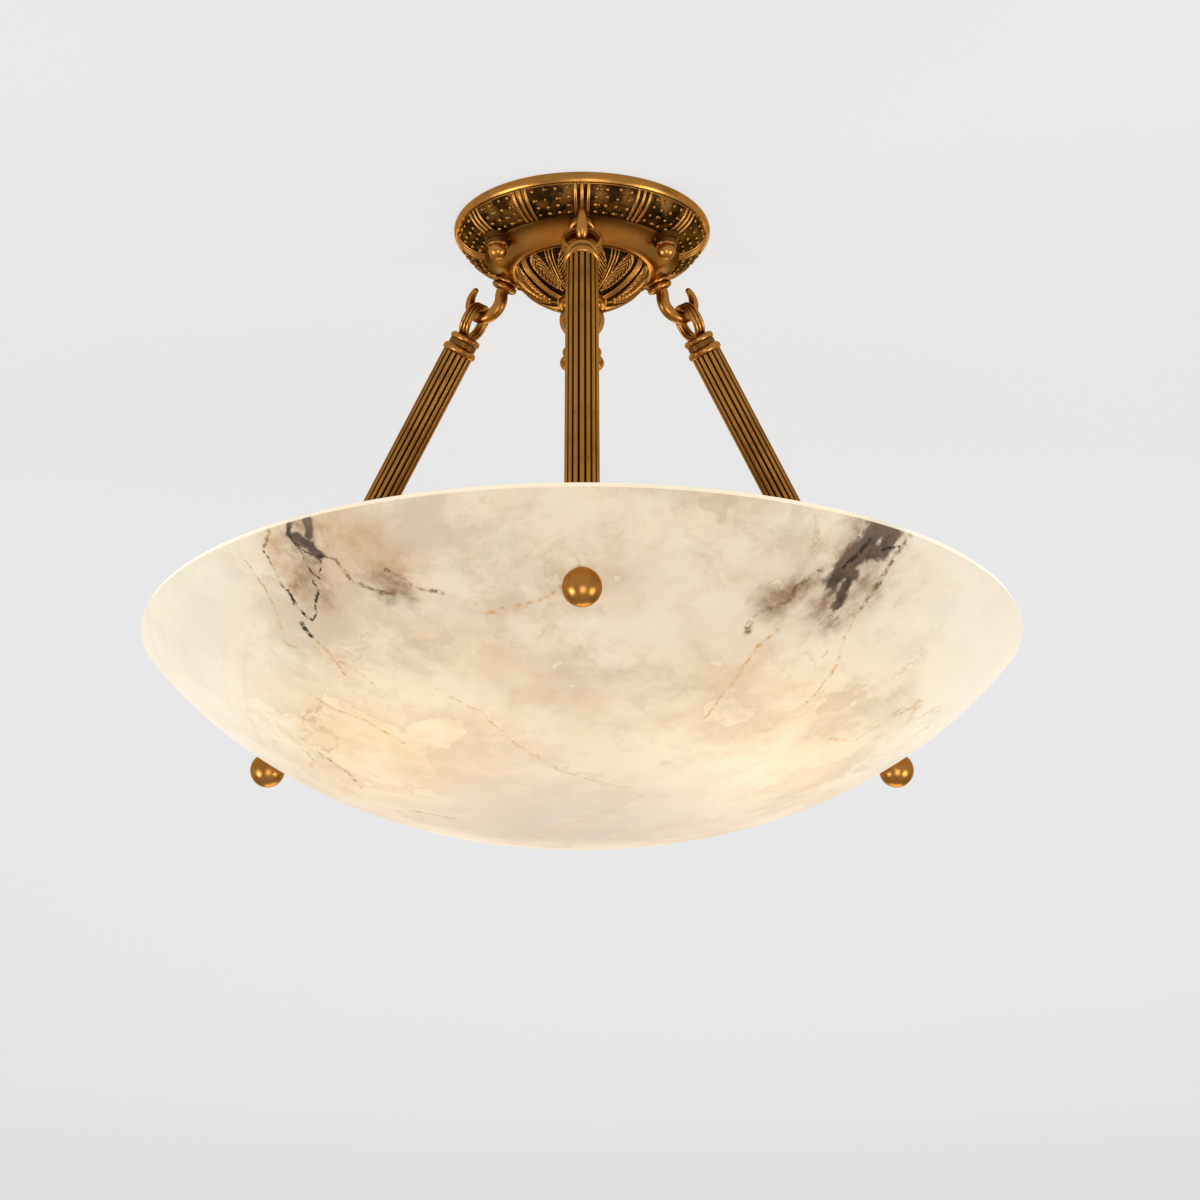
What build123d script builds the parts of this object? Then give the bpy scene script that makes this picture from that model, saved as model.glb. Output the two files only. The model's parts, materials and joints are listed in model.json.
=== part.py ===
from build123d import *
from math import acos, atan2, cos, degrees, radians, sin, sqrt
import os

os.makedirs("parts", exist_ok=True)

# Places of the three arms and of what sits between them, as angles about the vertical axis
arm_names = ("front", "right", "left")
arm_angles = (-90.0, 30.0, 150.0)
between_names = ("front_right", "back", "front_left")
between_angles = (-30.0, 90.0, 210.0)

# Clearances
running_gap = 0.05
free_gap = 0.3
hole_slack = 0.6

# Alabaster bowl
bowl_diameter = 500.0
bowl_depth = 108.4
bowl_wall = 9.0
rim_drop = 260.0
lip_height = 2.6
lip_bevel = 1.4
crown_handle = 0.655
rim_handle_in = 0.06
rim_handle_down = 0.172

# Canopy: pan, bell ring, leaf cup and button
canopy_diameter = 152.2
canopy_band_height = 6.4
canopy_band_width = 18.6
canopy_depth = 18.7
pan_wall = 2.0
pan_seat_width = 4.0
bell_lip = 1.5
bell_flare = 17.75
bell_drop = 11.2
bell_wall = 2.4
cup_depth = 19.0
cup_wall = 2.0
button_diameter = 28.0
button_thickness = 2.6

# Ribs of the canopy's band, in groups of three
rib_groups = 12
ribs_in_group = 3
rib_pitch_angle = 3.1
rib_width = 1.6
rib_height = 0.8

# Ball nuts that hold the canopy up
stud_inset = 0.5
canopy_stud_diameter = 5.0
ear_diameter = 15.6
ear_thickness = 1.7
ball_nut_neck_diameter = 12.4
ball_nut_neck_length = 4.4
ball_nut_flange_diameter = 14.6
ball_nut_flange = 1.3
ball_nut_ball_diameter = 10.8
ball_nut_travel = 8.0

# Mounting plate at the ceiling
plate_edge_width = 7.0
plate_thickness = 2.0
plate_wire_hole = 36.0
slot_spacing = 84.0
slot_length = 22.0
slot_width = 4.8
earth_screw_offset = 27.0
terminal_offset = 30.0

# Hook: seat on the bell's outline, collar of two beads, bent neck, round belly, tapering tip
hook_place = 0.281
hook_seat_sink = 1.3
hook_boss_length = 3.6
hook_tilt = 30.0
hook_wire = 7.6
hook_bend_radius = 8.0
hook_belly_radius = 10.9
hook_tip_turn = 138.0
hook_tip_wire = 3.6
collar_length = 8.0
first_bead_diameter = 14.0
second_bead_diameter = 15.6
bead_thickness = 4.0
hook_thread = 6.0

# Arms, which reach from the hooks to the ears inside the bowl
eye_diameter = 24.0
eye_thickness = 3.6
eye_band = 6.8
eye_inner_band = 4.8
eye_gap = 0.9
eye_twist = (0.0, -12.0, 12.0)
arm_upper_bead = 18.8
arm_middle_band = 17.0
arm_lower_bead = 21.0
arm_collar_length = 12.6
shaft_diameter = 18.6
shaft_bore = 13.0
reed_count = 16
reed_radius = 1.65
ferrule_length = 6.5
foot_ring_radius = 7.5
foot_ring_wire = 4.0
spigot_length = 8.0

# Lower link: lug on the bowl's inside, stud through the wall and ball finial outside
stud_place = 0.835
stud_diameter = 6.0
ear_place = 0.924
ear_lift = 11.8
lug_hole_radius = 4.4
lug_ear_radius = 8.0
lug_ear_thickness = 4.0
link_gap = 1.0
pad_thickness = 4.0
pad_width = 16.0
pad_end_below = 9.0
pad_end_above = 5.0
nut_boss_height = 0.6
gasket_thickness = 1.0
nut_width = 10.0
nut_height = 5.0
washer_thickness = 1.2
washer_diameter = 17.0
finial_diameter = 20.6
finial_standoff = 6.0
finial_thread = 9.0

# Hanging stem with its cluster of three lamps
button_ring_radius = 11.3
button_ring_wire = 4.0
button_ring_drop = 60.1
stem_eye_radius = 6.7
stem_eye_wire = 3.6
stem_first_bead = (80.9, 11.5, 2.2)
stem_second_bead = (87.6, 13.0, 3.2)
stem_below_rim = 2.0
cluster_diameter = 60.0
cluster_height = 34.0
cluster_wall = 2.0
lamps_below_rim = 21.0
holder_diameter = 24.0
holder_start = 32.0
holder_length = 34.0
holder_bore = 14.4
bulb_diameter = 45.0
bulb_centre = 95.0
bulb_cap_diameter = 13.6
glass_wall = 1.0


def keep(solid, name):
    """Label a finished piece and write it under its own name."""
    solid.label = name
    export_step(solid, f"parts/{name}.step")


def turned(solid, angle):
    """A copy of a piece, turned about the vertical axis."""
    return Location((0, 0, 0), (0, 0, angle)) * solid


def radial_plane(angle):
    """The upright plane through the vertical axis at this angle, its x pointing outwards."""
    c, s = cos(radians(angle)), sin(radians(angle))
    return Plane(origin=(0, 0, 0), x_dir=(c, s, 0), z_dir=(s, -c, 0))


def bead(diameter, thickness):
    """Radii of the ring that stands out to this diameter."""
    return diameter / 2 - thickness / 2, thickness / 2


# Bowl wall, as two matching curves in the plane of the front arm turned to +X
bowl_radius = bowl_diameter / 2
bowl_bottom = -rim_drop - bowl_depth


def wall_handles(radius, bottom):
    """Meridian of a bowl face, as (radius, height): level at the bottom, steep at the arris."""
    arris = -rim_drop - lip_height
    return (
        (0, bottom),
        (crown_handle * radius, bottom),
        ((1 - rim_handle_in) * radius, arris - rim_handle_down * (arris - bottom)),
        (radius, arris),
    )


rim_lean = atan2(rim_handle_down * (bowl_depth - lip_height), rim_handle_in * bowl_radius)
inner_radius = bowl_radius - bowl_wall / sin(rim_lean)
outer_handles = wall_handles(bowl_radius, bowl_bottom)
inner_handles = wall_handles(inner_radius, bowl_bottom + bowl_wall)
outer_curve = Bezier(*((radius, 0, height) for radius, height in outer_handles))
inner_curve = Bezier(*((radius, 0, height) for radius, height in inner_handles))
wall_length = inner_curve.length


def wall_point(share, lift):
    """Point of the bowl's inner face, as (radius, height), lifted off it towards the inside."""
    base = inner_curve @ share
    along = inner_curve % share
    return (base.X - along.Z * lift, base.Z + along.X * lift)


# Axis of a finial's stud: square to the outer face, through a point of the inner face
stud_inner = inner_curve @ stud_place
stud_outer = outer_curve.closest_points(stud_inner)[0]
stud_normal = (stud_outer - stud_inner).normalized()
wall_on_axis = (stud_outer - stud_inner).length
stud_plane = Plane(origin=stud_outer, x_dir=(0, 1, 0), z_dir=stud_normal)


def stud_location(angle, stand):
    """Place on a stud's axis, this far outside the bowl's outer face."""
    base = Plane(origin=stud_outer + stud_normal * stand, x_dir=(0, 1, 0), z_dir=stud_normal)
    return Location((0, 0, 0), (0, 0, angle)) * base.location


with BuildPart() as bowl:
    with BuildSketch(Plane.XZ):
        with BuildLine():
            Bezier(*outer_handles)
            Polyline(
                outer_handles[-1],
                (bowl_radius - lip_bevel, -rim_drop),
                (inner_radius + lip_bevel, -rim_drop),
                (inner_radius, -rim_drop - lip_bevel),
                inner_handles[-1],
            )
            Bezier(*reversed(inner_handles))
            Line(inner_handles[0], outer_handles[0])
        make_face()
    revolve(axis=Axis.Z)
    for angle in arm_angles:
        with Locations(stud_location(angle, 0)):
            Cylinder(stud_diameter / 2 + hole_slack, 4 * bowl_wall, mode=Mode.SUBTRACT)
keep(bowl.part, "alabaster_bowl")

# Canopy pan: rolled rim, convex band and a narrow seat for the bell ring
pan_radius = canopy_diameter / 2
pan_low = pan_radius - canopy_band_width
band_top = pan_radius - 2.8
canopy_stud_circle = 2 * (pan_low - stud_inset)
band_curve = ThreePointArc(
    (band_top, 0, -canopy_band_height),
    ((band_top + pan_low) / 2 + 2.4, 0, -(canopy_band_height + canopy_depth) / 2 - 1.6),
    (pan_low, 0, -canopy_depth),
)

with BuildPart() as pan_cavity:
    with BuildSketch(Plane.XZ):
        with BuildLine():
            Line((0, 0), (pan_radius - 1.6 - pan_wall, 0))
            Line((pan_radius - 1.6 - pan_wall, 0), (band_top - pan_wall, -canopy_band_height))
            ThreePointArc(
                (band_top - pan_wall, -canopy_band_height),
                ((band_top + pan_low) / 2 - 0.2, -(canopy_band_height + canopy_depth) / 2 - 0.6),
                (pan_low - pan_wall + 1.0, -canopy_depth + pan_wall),
            )
            Polyline(
                (pan_low - pan_wall + 1.0, -canopy_depth + pan_wall),
                (0, -canopy_depth + pan_wall),
                (0, 0),
            )
        make_face()
    revolve(axis=Axis.Z)
    for angle in between_angles:
        with Locations(Location((0, 0, 0), (0, 0, angle)) * Pos(canopy_stud_circle / 2, 0, -canopy_depth)):
            Cylinder(canopy_stud_diameter, 2 * canopy_band_height, mode=Mode.SUBTRACT)

# Outline of the bell ring's flared face, which also places the hooks' seats
bell_top = pan_low - free_gap
bell_shoulder = bell_top - bell_lip / 2
bell_low = pan_low - bell_flare
bell_base = -canopy_depth - bell_drop
bell_handles = (
    (bell_shoulder, -canopy_depth - bell_lip),
    (bell_shoulder - 0.3 * (bell_shoulder - bell_low), -canopy_depth - bell_lip - 0.6),
    (bell_low + 0.35 * (bell_shoulder - bell_low), bell_base + 0.2),
    (bell_low, bell_base),
)
bell_curve = Bezier(*((radius, 0, height) for radius, height in bell_handles))
seat_foot = bell_curve @ hook_place
seat_along = bell_curve % hook_place
hook_seat_radius = seat_foot.X + seat_along.Z * hook_seat_sink
hook_seat_height = seat_foot.Z - seat_along.X * hook_seat_sink

# One rib of the band: a strip along the band's arc, cut level with the pan's seat
arc_centre = band_curve.arc_center
rib_start = degrees(atan2(band_curve.start_point().Z - arc_centre.Z, band_curve.start_point().X - arc_centre.X))
rib_end = degrees(atan2(band_curve.end_point().Z - arc_centre.Z, band_curve.end_point().X - arc_centre.X))

with BuildPart() as rib:
    with BuildSketch(Plane.XZ):
        with BuildLine():
            place = (arc_centre.X, arc_centre.Z)
            crest = CenterArc(place, band_curve.radius + rib_height, rib_start, rib_end - rib_start)
            root = CenterArc(place, band_curve.radius - rib_height, rib_start, rib_end - rib_start)
            Line(crest @ 0, root @ 0)
            Line(crest @ 1, root @ 1)
        make_face()
    extrude(amount=rib_width / 2, both=True)
    with Locations((pan_low, 0, -canopy_depth - 2 * rib_height)):
        Box(canopy_band_width, 2 * rib_width, 4 * rib_height, mode=Mode.SUBTRACT)

with BuildPart() as canopy_pan:
    with BuildSketch(Plane.XZ):
        with BuildLine():
            Line((0, 0), (pan_radius - 1.6, 0))
            ThreePointArc(
                (pan_radius - 1.6, 0),
                (pan_radius, -canopy_band_height / 2),
                (pan_radius - 1.2, -canopy_band_height),
            )
            Line((pan_radius - 1.2, -canopy_band_height), (band_top, -canopy_band_height))
            ThreePointArc(*((point.X, point.Z) for point in (band_curve @ 0, band_curve @ 0.5, band_curve @ 1)))
            Polyline((pan_low, -canopy_depth), (0, -canopy_depth), (0, 0))
        make_face()
    revolve(axis=Axis.Z)
    add(
        [
            turned(rib.part, arm_angles[0] + 360 / rib_groups * group + rib_pitch_angle * (nth - 1))
            for group in range(rib_groups)
            for nth in range(ribs_in_group)
        ]
    )
    add(pan_cavity.part, mode=Mode.SUBTRACT)
    with Locations((0, 0, -canopy_depth)):
        Cylinder(pan_low - pan_seat_width, 3 * pan_wall, mode=Mode.SUBTRACT)
    for angle in between_angles:
        with Locations(Location((0, 0, 0), (0, 0, angle)) * Pos(canopy_stud_circle / 2, 0, -canopy_depth)):
            Cylinder(canopy_stud_diameter / 2 + hole_slack / 2, canopy_depth, mode=Mode.SUBTRACT)
    for angle in arm_angles:
        with Locations(Location((0, 0, 0), (0, 0, angle)) * Pos(hook_seat_radius - 0.8, 0, -canopy_depth)):
            Cylinder(first_bead_diameter / 2 - 0.5, 3 * pan_wall, mode=Mode.SUBTRACT)
keep(canopy_pan.part, "canopy_pan")

# Hook: seat on the bell ring, collar axis leaning outwards, belly under the arm's line
hook_lean = radians(hook_tilt)
hook_axis = (sin(hook_lean), -cos(hook_lean))
hook_seat = Plane(
    origin=(hook_seat_radius, 0, hook_seat_height), x_dir=(0, 1, 0), z_dir=(hook_axis[0], 0, hook_axis[1])
)
neck_start = (
    hook_seat_radius + collar_length * hook_axis[0],
    hook_seat_height + collar_length * hook_axis[1],
)
bend_across = hook_bend_radius * (1 - cos(hook_lean))
bend_down = hook_bend_radius * sin(hook_lean)
hook_centre_radius = neck_start[0] + bend_across + hook_belly_radius
hook_centre_height = neck_start[1] - bend_down

with BuildPart() as hook:
    with BuildLine(Plane.XZ) as hook_line:
        Line((hook_seat_radius, hook_seat_height), neck_start)
        neck = JernArc(neck_start, hook_axis, hook_bend_radius, -hook_tilt)
        JernArc(neck @ 1, neck % 1, hook_belly_radius, 90)
    with BuildSketch(hook_seat):
        Circle(hook_wire / 2)
    sweep(path=hook_line.wire())
    taper_steps = 6
    for step in range(taper_steps + 1):
        share = step / taper_steps
        turn = radians(-90 + share * hook_tip_turn)
        with BuildSketch(
            Plane(
                origin=(
                    hook_centre_radius + hook_belly_radius * cos(turn),
                    0,
                    hook_centre_height + hook_belly_radius * sin(turn),
                ),
                x_dir=(0, 1, 0),
                z_dir=(-sin(turn), 0, cos(turn)),
            )
        ):
            Circle(hook_wire / 2 + share * share * (hook_tip_wire - hook_wire) / 2)
    loft()
    with Locations(
        (
            hook_centre_radius + hook_belly_radius * cos(radians(hook_tip_turn - 90)),
            0,
            hook_centre_height + hook_belly_radius * sin(radians(hook_tip_turn - 90)),
        )
    ):
        Sphere(hook_tip_wire / 2)
    with BuildSketch(hook_seat):
        Circle(first_bead_diameter / 2 - bead_thickness / 2 + 0.4)
    extrude(amount=collar_length - 1)
    with Locations(hook_seat.offset(bead_thickness / 2).location):
        Torus(*bead(first_bead_diameter, bead_thickness))
    with Locations(hook_seat.offset(1.5 * bead_thickness - 0.1).location):
        Torus(*bead(second_bead_diameter, bead_thickness))
    with BuildSketch(hook_seat):
        Circle(hook_thread / 2)
    extrude(amount=-12)
for name, angle in zip(arm_names, arm_angles):
    keep(turned(hook.part, angle), f"hook_{name}")

# Bell ring: flange under the pan, flared wall, hook seats and ears for the ball nuts
with BuildPart() as bell:
    with BuildSketch(Plane.XZ):
        with BuildLine():
            Polyline(
                (bell_top - 5, -canopy_depth),
                (bell_top, -canopy_depth),
                (bell_top, -canopy_depth - bell_lip),
                bell_handles[0],
            )
            Bezier(*bell_handles)
            Polyline(
                (bell_low, bell_base),
                (bell_low - bell_wall, bell_base),
                (bell_low - bell_wall, bell_base + bell_wall),
            )
            Bezier(
                (bell_low - bell_wall, bell_base + bell_wall),
                (bell_low + 0.3 * (bell_shoulder - bell_low), bell_base + bell_wall + 0.2),
                (bell_top - 5 - 0.2 * (bell_shoulder - bell_low), -canopy_depth + 0.2),
                (bell_top - 5, -canopy_depth),
            )
        make_face()
    revolve(axis=Axis.Z)
    for angle in between_angles:
        with Locations(
            Location((0, 0, 0), (0, 0, angle))
            * Pos(canopy_stud_circle / 2, 0, -canopy_depth - ear_thickness / 2)
        ):
            Cylinder(ear_diameter / 2, ear_thickness)
            Cylinder(canopy_stud_diameter / 2 + hole_slack / 2, 4 * ear_thickness, mode=Mode.SUBTRACT)
        with Locations(
            Location((0, 0, 0), (0, 0, angle))
            * Pos(canopy_stud_circle / 2, 0, -canopy_depth - ear_thickness - bell_drop / 2)
        ):
            Cylinder(ball_nut_flange_diameter / 2 + free_gap, bell_drop, mode=Mode.SUBTRACT)
    for angle in arm_angles:
        seat_place = Location((0, 0, 0), (0, 0, angle)) * hook_seat.location
        with Locations(seat_place * Pos(0, 0, -hook_boss_length / 2)):
            Cylinder(5.0, hook_boss_length)
        with Locations(seat_place * Pos(0, 0, 6)):
            Cylinder(first_bead_diameter / 2 + free_gap, 12, mode=Mode.SUBTRACT)
        with Locations(seat_place):
            Cylinder(hook_thread / 2 + 0.02, 20, mode=Mode.SUBTRACT)
keep(bell.part, "bell_ring")

# Leaf cup under the bell ring
cup_top = bell_base
cup_bottom = cup_top - cup_depth
cup_radius = bell_low + 0.1
button_radius = button_diameter / 2

with BuildPart() as cup:
    with BuildSketch(Plane.XZ):
        with BuildLine():
            Line((cup_radius - 4.5, cup_top), (cup_radius, cup_top))
            Bezier(
                (cup_radius, cup_top),
                (cup_radius - 1.0, cup_top - 0.42 * cup_depth),
                (0.62 * cup_radius, cup_bottom + 0.06 * cup_depth),
                (button_radius + 0.6, cup_bottom),
            )
            Polyline(
                (button_radius + 0.6, cup_bottom),
                (6, cup_bottom),
                (6, cup_bottom + cup_wall),
                (button_radius, cup_bottom + cup_wall),
            )
            Bezier(
                (button_radius, cup_bottom + cup_wall),
                (0.56 * cup_radius, cup_bottom + cup_wall + 0.08 * cup_depth),
                (cup_radius - 4.5, cup_top - 0.4 * cup_depth),
                (cup_radius - 4.5, cup_top),
            )
        make_face()
    revolve(axis=Axis.Z)
keep(cup.part, "leaf_cup")

# Button with a raised edge and the ring that carries the stem
button_low = cup_bottom - button_thickness

with BuildPart() as button:
    with BuildSketch(Plane.XZ):
        with BuildLine():
            Polyline(
                (0, cup_bottom),
                (button_radius, cup_bottom),
                (button_radius, cup_bottom - 0.6 * button_thickness),
                (button_radius - 0.8, button_low),
                (button_radius - 2.2, button_low),
                (button_radius - 3.2, button_low + 1.0),
                (5.0, button_low + 1.0),
                (3.4, button_low),
                (0, button_low),
                (0, cup_bottom),
            )
        make_face()
    revolve(axis=Axis.Z)
    with Locations(Location((0, 0, -button_ring_drop), (90, 0, 0))):
        Torus(button_ring_radius, button_ring_wire / 2)
    with Locations((0, 0, cup_bottom + button_radius / 2)):
        Box(2 * button_radius, 2 * button_radius, button_radius, mode=Mode.SUBTRACT)
keep(button.part, "button_with_ring")

# Centre tie: rod from the button up through the bridge bar, with its nut
bridge_low = -canopy_depth + pan_wall
bridge_thickness = 3.0
tie_radius = 4.0

with BuildPart() as bridge:
    with BuildSketch(Plane.XY.offset(bridge_low)):
        SlotOverall(2 * (pan_low - 1.0), 18)
        Circle(tie_radius + hole_slack / 2, mode=Mode.SUBTRACT)
        with Locations((-28, 0), (28, 0)):
            Circle(5, mode=Mode.SUBTRACT)
    extrude(amount=bridge_thickness)
keep(bridge.part, "canopy_bridge_bar")

with BuildPart() as tie_rod:
    with BuildSketch(Plane.XY.offset(cup_bottom)):
        Circle(tie_radius)
    extrude(amount=bridge_low + bridge_thickness + 7 - cup_bottom)
keep(tie_rod.part, "canopy_tie_rod")

with BuildPart() as tie_nut:
    with BuildSketch(Plane.XY.offset(bridge_low + bridge_thickness)):
        RegularPolygon(7.5, 6)
        Circle(tie_radius + running_gap, mode=Mode.SUBTRACT)
    extrude(amount=5)
keep(tie_nut.part, "canopy_tie_nut")

with BuildPart() as hook_nuts:
    for angle in arm_angles:
        nut_place = Location((0, 0, 0), (0, 0, angle)) * hook_seat.offset(-hook_boss_length - 4.4).location
        with BuildSketch(Plane(nut_place)):
            RegularPolygon(5.2, 6)
            Circle(hook_thread / 2 + running_gap, mode=Mode.SUBTRACT)
        extrude(amount=4.4)
keep(hook_nuts.part, "hook_nuts")

# Mounting plate, studs and small hardware above the canopy
plate_radius = canopy_stud_circle / 2 + plate_edge_width
ball_nut_top = -canopy_depth - ear_thickness
ball_nut_neck_low = ball_nut_top - ball_nut_flange - ball_nut_neck_length
stud_low = ball_nut_neck_low + 0.5

with BuildPart() as plate:
    with BuildSketch(Plane.XY.offset(-plate_thickness)):
        Circle(plate_radius)
        Circle(plate_wire_hole / 2, mode=Mode.SUBTRACT)
        with Locations((-slot_spacing / 2, 0), (slot_spacing / 2, 0)):
            SlotOverall(slot_length, slot_width, mode=Mode.SUBTRACT)
        with PolarLocations(canopy_stud_circle / 2, 3, start_angle=between_angles[0]):
            Circle(canopy_stud_diameter / 2 + running_gap, mode=Mode.SUBTRACT)
        with PolarLocations(plate_radius - 18, 3, start_angle=arm_angles[0]):
            SlotOverall(16, 7, rotation=90, mode=Mode.SUBTRACT)
        with Locations((0, earth_screw_offset)):
            Circle(1.7, mode=Mode.SUBTRACT)
    extrude(amount=plate_thickness)
keep(plate.part, "mounting_plate")

with BuildPart() as canopy_studs:
    with BuildSketch(Plane.XY.offset(stud_low)):
        with PolarLocations(canopy_stud_circle / 2, 3, start_angle=between_angles[0]):
            Circle(canopy_stud_diameter / 2)
    extrude(amount=-0.2 - stud_low)
keep(canopy_studs.part, "canopy_studs")

with BuildPart() as stud_nuts:
    with BuildSketch(Plane.XY.offset(-plate_thickness)):
        with PolarLocations(canopy_stud_circle / 2, 3, start_angle=between_angles[0]):
            RegularPolygon(4.4, 6)
            Circle(canopy_stud_diameter / 2 + running_gap, mode=Mode.SUBTRACT)
    extrude(amount=-3.6)
keep(stud_nuts.part, "stud_nuts")

with BuildPart() as earth_screw:
    with BuildSketch(Plane.XY.offset(-plate_thickness)):
        with Locations((0, earth_screw_offset)):
            RegularPolygon(4.4, 6)
    extrude(amount=-3)
    with BuildSketch(Plane.XY.offset(-plate_thickness)):
        with Locations((0, earth_screw_offset)):
            Circle(1.65)
    extrude(amount=plate_thickness - 0.2)
keep(earth_screw.part, "earth_screw")

with BuildPart() as terminal_block:
    with BuildSketch(Plane.XY.offset(-plate_thickness)):
        with Locations((0, -terminal_offset)):
            RectangleRounded(26, 14, 1.5)
            with GridLocations(8, 0, 3, 1):
                Circle(1.8, mode=Mode.SUBTRACT)
    extrude(amount=-9)
keep(terminal_block.part, "terminal_block")

with BuildPart() as ball_nut:
    with BuildSketch(Plane.XY.offset(ball_nut_top)):
        Circle(ball_nut_flange_diameter / 2)
    extrude(amount=-ball_nut_flange)
    with BuildSketch(Plane.XY.offset(ball_nut_top)):
        Circle(ball_nut_neck_diameter / 2)
    extrude(amount=-ball_nut_flange - ball_nut_neck_length)
    neck_edge = ball_nut.edges().filter_by(GeomType.CIRCLE).sort_by(Axis.Z)[0]
    fillet(neck_edge, 1.2)
    with Locations((0, 0, ball_nut_neck_low - 0.22 * ball_nut_ball_diameter)):
        Sphere(ball_nut_ball_diameter / 2)
    with BuildSketch(Plane.XY.offset(ball_nut_top)):
        Circle(canopy_stud_diameter / 2 + running_gap)
    extrude(amount=-ball_nut_flange - ball_nut_neck_length, mode=Mode.SUBTRACT)
for name, angle in zip(between_names, between_angles):
    keep(turned(Pos(canopy_stud_circle / 2, 0, 0) * ball_nut.part, angle), f"ball_nut_{name}")

# Arm: built hanging straight down from the hook's centre, then leaned towards the bowl's ear
eye_centre = hook_belly_radius - hook_wire / 2 - eye_gap - eye_thickness + eye_diameter / 2
collar_top = eye_centre + eye_diameter / 2 - 2.2
shaft_top = collar_top + arm_collar_length
core_radius = shaft_bore / 2 + 0.9
ear_centre = wall_point(ear_place, ear_lift)
arm_lean = atan2(ear_centre[0] - hook_centre_radius, hook_centre_height - ear_centre[1])
link_place = (hook_centre_height - ear_centre[1]) / cos(arm_lean)
foot_ring_centre = link_place + link_gap - lug_hole_radius - foot_ring_radius + foot_ring_wire / 2
shaft_end = foot_ring_centre - foot_ring_radius + foot_ring_wire / 2 - ferrule_length
arm_plane = Plane(
    origin=(hook_centre_radius, 0, hook_centre_height),
    x_dir=(0, 1, 0),
    z_dir=(-sin(arm_lean), 0, cos(arm_lean)),
)


def on_arm(solid, angle):
    """A copy of an arm's piece, leaned and turned to its place."""
    return Location((0, 0, 0), (0, 0, angle)) * arm_plane.location * solid


def collar_plane(height):
    """Level plane whose seam keeps off the eye's reeds."""
    return Plane(origin=(0, 0, height), x_dir=(1, 1, 0), z_dir=(0, 0, 1))


def arm_head(twist):
    """Reeded eye and beaded collar at the top of an arm, the eye twisted about the arm."""
    eye_radius = (eye_diameter - eye_thickness) / 2
    with BuildPart() as eye:
        with BuildSketch(Plane.XY.offset(-eye_centre)):
            with Locations((eye_radius - 0.5, 0)):
                SlotOverall(eye_inner_band, eye_thickness - 1.0, rotation=90)
            with Locations((eye_radius + 0.45, 0)):
                with GridLocations(0, eye_band / 3.15, 1, 3):
                    Circle(eye_band / 5.1)
        revolve(axis=Axis((0, 0, -eye_centre), (0, 1, 0)))
    with BuildPart() as casting:
        add(turned(eye.part, twist))
        with BuildSketch(collar_plane(-collar_top - 0.6)):
            Circle(core_radius)
        extrude(amount=-(arm_collar_length - 0.6))
        with Locations(collar_plane(-collar_top - 2.4).location):
            Torus(*bead(arm_upper_bead, 4.4))
        with BuildSketch(collar_plane(-collar_top - 4.6)):
            Circle(arm_middle_band / 2)
        extrude(amount=-3.2)
        with Locations(collar_plane(-shaft_top + 2.5).location):
            Torus(*bead(arm_lower_bead, 5.0))
        with BuildSketch(collar_plane(-shaft_top)):
            Circle(shaft_bore / 2 - running_gap)
        extrude(amount=-spigot_length)
    return casting.part


with BuildPart() as shaft:
    with BuildSketch(Plane.XY.offset(-shaft_top)):
        reed_circle = shaft_diameter / 2 - reed_radius
        Circle(reed_circle + 0.35)
        with PolarLocations(reed_circle, reed_count):
            Circle(reed_radius)
        Circle(shaft_bore / 2, mode=Mode.SUBTRACT)
    extrude(amount=-(shaft_end - shaft_top))

with BuildPart() as foot:
    with BuildSketch(Plane.XY.offset(-shaft_end + spigot_length)):
        Circle(shaft_bore / 2 - running_gap)
    extrude(amount=-spigot_length)
    with BuildSketch(Plane.XY.offset(-shaft_end)):
        Circle(core_radius)
    extrude(amount=-4.6)
    with Locations((0, 0, -shaft_end - 2.2)):
        Torus(*bead(shaft_diameter + 0.6, 4.4))
    with Locations((0, 0, -shaft_end - 4.6 - 0.95)):
        Cone(core_radius - 2.6, core_radius, 1.9)
    with Locations(Location((0, 0, -foot_ring_centre), (90, 0, 0))):
        Torus(foot_ring_radius, foot_ring_wire / 2)

for name, angle, twist in zip(arm_names, arm_angles, eye_twist):
    keep(on_arm(arm_head(twist), angle), f"arm_head_{name}")
    keep(on_arm(shaft.part, angle), f"arm_shaft_{name}")
    keep(on_arm(foot.part, angle), f"arm_foot_{name}")

# Lug inside the bowl: a pad that follows the wall and an ear on the arm's line
pad_from = stud_place - pad_end_below / wall_length
pad_to = ear_place + pad_end_above / wall_length
pad_angle = degrees(pad_width / stud_inner.X)


def wall_slab(low, high):
    """Slab that follows the bowl's inner face between two lifts, along the pad."""
    middle = (pad_from + pad_to) / 2
    with BuildPart() as slab:
        with BuildSketch(radial_plane(-pad_angle / 2)):
            with BuildLine():
                ThreePointArc(*(wall_point(share, low) for share in (pad_from, middle, pad_to)))
                Line(wall_point(pad_to, low), wall_point(pad_to, high))
                ThreePointArc(*(wall_point(share, high) for share in (pad_to, middle, pad_from)))
                Line(wall_point(pad_from, high), wall_point(pad_from, low))
            make_face()
        revolve(axis=Axis.Z, revolution_arc=pad_angle)
    return slab.part


nut_seat = wall_on_axis + gasket_thickness + pad_thickness + nut_boss_height

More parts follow.
